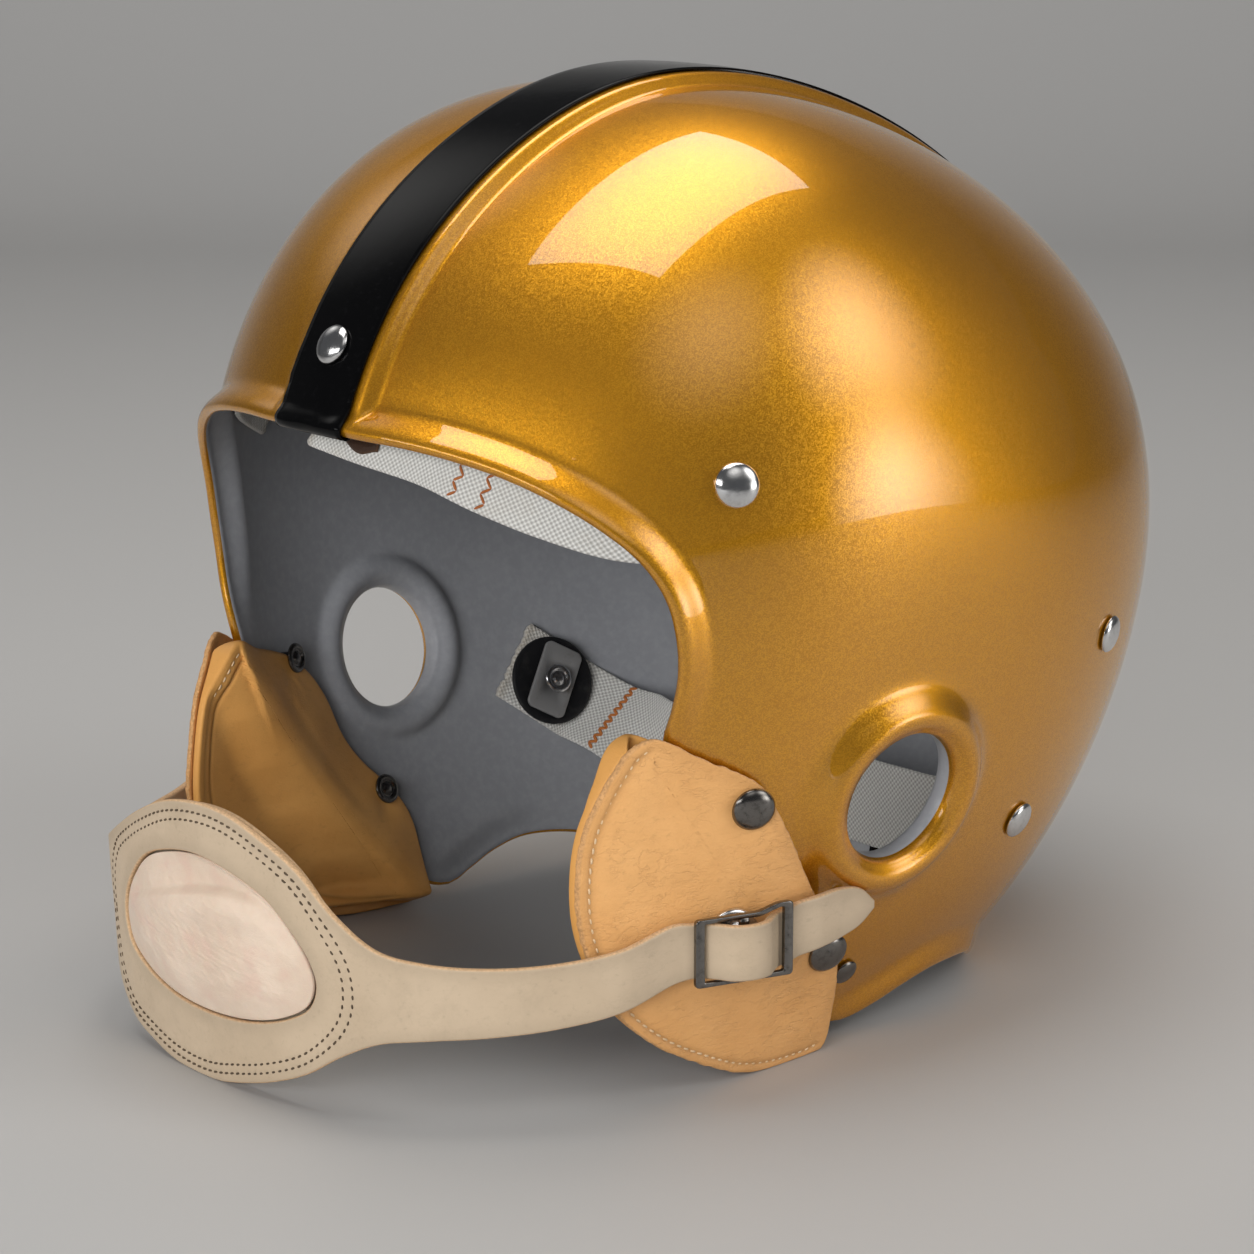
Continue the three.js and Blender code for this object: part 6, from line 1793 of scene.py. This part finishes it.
def rounded_corners(corners, radius, per=7):
    """A closed outline whose corners are parabolas, with straight runs of a few points between."""
    before, after = np.roll(corners, 1, axis=0), np.roll(corners, -1, axis=0)
    start, end = (corners + unit(other - corners) * radius for other in (before, after))
    t = np.linspace(0, 1, per)[None, :, None]
    curve = (1 - t) ** 2 * start[:, None] + 2 * t * (1 - t) * corners[:, None] + t**2 * end[:, None]
    run = np.roll(start, -1, axis=0)[:, None] - curve[:, -1:]
    joins = curve[:, -1:] + run * np.linspace(0, 1, 8)[None, 1:-1, None]
    return np.concatenate([curve, joins], axis=1).reshape(-1, 2)


def buckle_frame():
    """Outer and inner outlines with matching corners, joined by sides with rounded edges."""
    a, b, w, r = BUCKLE_LENGTH / 2, BUCKLE_HEIGHT / 2, BUCKLE_BAR, BUCKLE_RAIL
    low = b - TOP_BAR_DIP
    outer = np.array([(-a, -b), (a, -b), (a, b), (0.70 * a, b), (0.30 * a, low), (-a, low)])
    inner = np.array([(w - a, r - b), (a - w, r - b), (a - w, b - r), (0.72 * a, b - r), (0.33 * a, low - r),
                      (w - a, low - r)])
    out, into = rounded_corners(outer, 1.3), rounded_corners(inner, 0.6)
    turn = np.radians(np.linspace(0, 90, 6))
    share, height = 0.225 * (1 - np.sin(turn)), BUCKLE_THICKNESS / 2 - 0.5 * (1 - np.cos(turn))
    share, height = np.append(share, share[::-1]), np.append(height, -height[::-1])
    share, height = np.append(share, 1 - share[::-1]), np.append(height, height[::-1])
    flat = out + (into - out) * share[:, None, None]
    points = in_buckle(flat[..., 0], flat[..., 1], height[:, None])
    return points.reshape(-1, 3), grid_faces(*points.shape[:2], wrap_rows=True, wrap_cols=True)


def middle_bar():
    """The bar that the snap carries: a rounded bar from rail to rail."""
    low = BUCKLE_HEIGHT / 2 - TOP_BAR_DIP
    turn = np.linspace(0, 2 * math.pi, 24, endpoint=False)
    across, out = (np.sign(wave) * np.abs(wave) ** 0.6 for wave in (np.cos(turn), np.sin(turn)))
    up = np.linspace(-BUCKLE_HEIGHT / 2 + 0.5, low - 0.5, 9)
    up, swell = np.concatenate([up[:1], up, up[-1:]])[:, None], np.array([0] + [1] * 9 + [0])[:, None]
    points = in_buckle(across * swell * BUCKLE_BAR / 2, up, out * swell * (BUCKLE_THICKNESS / 2 - 0.05))
    return points.reshape(-1, 3), grid_faces(*points.shape[:2], wrap_cols=True)


piece("buckle", *buckle_frame(), DARK, ["buckle"], "dark_nickel")
piece("buckle_middle_bar", *middle_bar(), DARK, [], "dark_nickel")

# %% [markdown]
# The near snap is fixed to the flap, and its neck carries the buckle's middle bar. The far snap
# is a plain dome on the strap's other end.

# %% Snaps
SNAP_RADIUS, SNAP_NECK = 7.5, 3.5
snap_axis = np.array([math.cos(BUCKLE_TURN), -math.sin(BUCKLE_TURN), 0.0])
snap_seat = float(flap_inside(BUCKLE_AT[1:2], BUCKLE_AT[2:3])[0]) + FLAP_THICKNESS
snap_floor = 1.0 - (BUCKLE_AT[0] - snap_seat) * math.cos(BUCKLE_TURN)
snap_top = -BUCKLE_THICKNESS / 2 - 0.3
neck = [(0, 0), (2.2, 0), (3.1, -0.1), (SNAP_NECK, -0.5)]
foot = [(SNAP_NECK, 2.0), (3.8, 1.65), (4.6, 1.45), (5.4, 1.5), (6.2, 1.62), (6.8, 1.5), (7.25, 1.15),
        (7.45, 0.75), (SNAP_RADIUS, 0.35), (7.35, 0.1), (7.1, 0), (0, 0)]
near_profile = [(r, snap_top + z) for r, z in neck] + [(r, snap_floor + z) for r, z in foot]
piece("snap_left", *turned(near_profile, BUCKLE_AT, snap_axis, 56), BRIGHT, ["snap_left"], "bright_rivet")

FAR_SNAP = np.array([12.0])  # length of strap from its far end
far_seat = on_strap(FAR_SNAP, sum(strap_edges(FAR_SNAP)) / 2, -0.3)[0]
far_axis = np.append(along(LINE_NORMAL, LINE_LENGTH, FAR_SNAP)[0], 0)
dome_turn = np.radians(np.linspace(0, 86, 14))
far_profile = [(SNAP_RADIUS * math.sin(t), 0.4 + 2.2 * math.cos(t)) for t in dome_turn]
far_profile += [(SNAP_RADIUS, 0.3), (7.35, 0.08), (7.1, 0), (0, 0)]
piece("snap_right", *turned(far_profile, far_seat, far_axis, 56), BRIGHT, ["snap_right"], "bright_rivet")

# %% [markdown]
# ## Floor and light
# A glossy coat shows what stands round it, so the lights are placed by what they look like in it.
# A soft pane overhead is mirrored over the crown, and a low strip in front along the brow. Panels
# that fade towards their border give broad glows without an edge, and one light that the gloss
# doesn't see fills the shade. The floor is pale and seamless.

# %% Stage
FLOOR_RUN, FLOOR_CURVE_FROM, FLOOR_CURVE = (-6000, 2600), 1400, 900
FLOOR_HALF = 4200


def floor_sheet():
    """A pale floor that curves up far behind, as one grid, and darkens far out at both sides."""
    run = np.linspace(*FLOOR_RUN, 120)
    rise = np.where(run > FLOOR_CURVE_FROM, (run - FLOOR_CURVE_FROM) ** 2 / FLOOR_CURVE, 0)
    across = np.linspace(-FLOOR_HALF, FLOOR_HALF, 30)
    ahead, side = -direction(CAMERA_YAW, 0), direction(CAMERA_YAW + 90, 0)
    grid = run[:, None, None] * ahead + across[None, :, None] * side + rise[:, None, None] * [0, 0, 1]
    f = Finish("floor", Roughness=0.55)
    aside = f.vector("DOT_PRODUCT", 1, i0=f.place, i1=tuple(side)).absolute()
    f.set(Base_Color=f.mix(aside.between(0.5, 2.2), (0.45, 0.447, 0.442), (0.26, 0.26, 0.26)))
    faces = grid_faces(*grid.shape[:2])[:, ::-1].tolist()
    show("floor", smooth_mesh("floor", grid.reshape(-1, 3), faces, f.material))


def soft_light(name, place, target, width, height, power, colour):
    """An area light of a size in metres, aimed at a target."""
    data = bpy.data.lights.new(name, "AREA")
    data.shape, data.size, data.size_y, data.energy, data.color = "RECTANGLE", width, height, power, colour
    made = show(name, data)
    made.matrix_world = aimed(place, target)
    return made


def glow_panel(name, place, target, radius, strength):
    """A square panel that shines in its middle and fades to nothing: smoothstep of 1 minus r."""
    turn = np.array(aimed(place, target))[:3, :3]
    corners = np.array([(-1, -1, 0), (1, -1, 0), (1, 1, 0), (-1, 1, 0)])
    mesh = bpy.data.meshes.new(name)
    mesh.from_pydata((place + radius * corners @ turn.T).tolist(), [], [(0, 1, 2, 3)])
    mesh.uv_layers.new(name="place").data.foreach_set("uv", corners[:, :2].ravel())
    f = Finish(name, Base_Color=(0, 0, 0, 1), Roughness=1.0, Specular_IOR_Level=0.0,
               Emission_Color=(1.0, 0.98, 0.95, 1.0), Emission_Strength=strength)
    r = f.vector("LENGTH", 1, i0=f.node("ShaderNodeUVMap", {"uv_map": "place"}))
    fade = r.maths("MAXIMUM", 1.0 - r, 0.0)
    f.set(Alpha=fade * fade * (3.0 - fade * 2.0))
    mesh.materials.append(f.material)
    made = show(name, mesh)
    made.visible_camera = made.visible_shadow = False


floor_sheet()
HELMET_MIDDLE = (0.0, 0.0, 0.12)
soft_light("overhead", (-0.20, 0.13, 1.45), (-0.2022, 0.1423, 0.2), 0.88, 1.42, 13, (1.0, 0.97, 0.93))
soft_light("front", (-0.1, -2.3, 0.80), HELMET_MIDDLE, 2.2, 0.5, 13, (1.0, 0.99, 0.975))
fill = soft_light("fill", (1.2, -2.2, 0.7), HELMET_MIDDLE, 1.6, 1.2, 47, (0.98, 0.985, 1.0))
fill.visible_glossy = False
PANELS = [  # name, place, radius, strength
    ("left_high", (-1.7, -0.1, 1.5), 0.78, 1.1), ("right_high", (1.5, -0.7, 1.9), 1.17, 1.1),
    ("side_high", (1.53, 0.88, 1.30), 1.04, 3.4), ("side_low", (2.0, 1.0, 0.22), 0.806, 5.0),
]
for name, place, radius, strength in PANELS:
    glow_panel(name, place, HELMET_MIDDLE, radius, strength)
world = bpy.data.worlds.new("world")
world.use_nodes = True
sky = world.node_tree.nodes["Background"].inputs
sky["Color"].default_value, sky["Strength"].default_value = (0.80, 0.82, 0.85, 1.0), 0.10
bpy.context.scene.world = world
bpy.context.scene.view_settings.view_transform = "Standard"
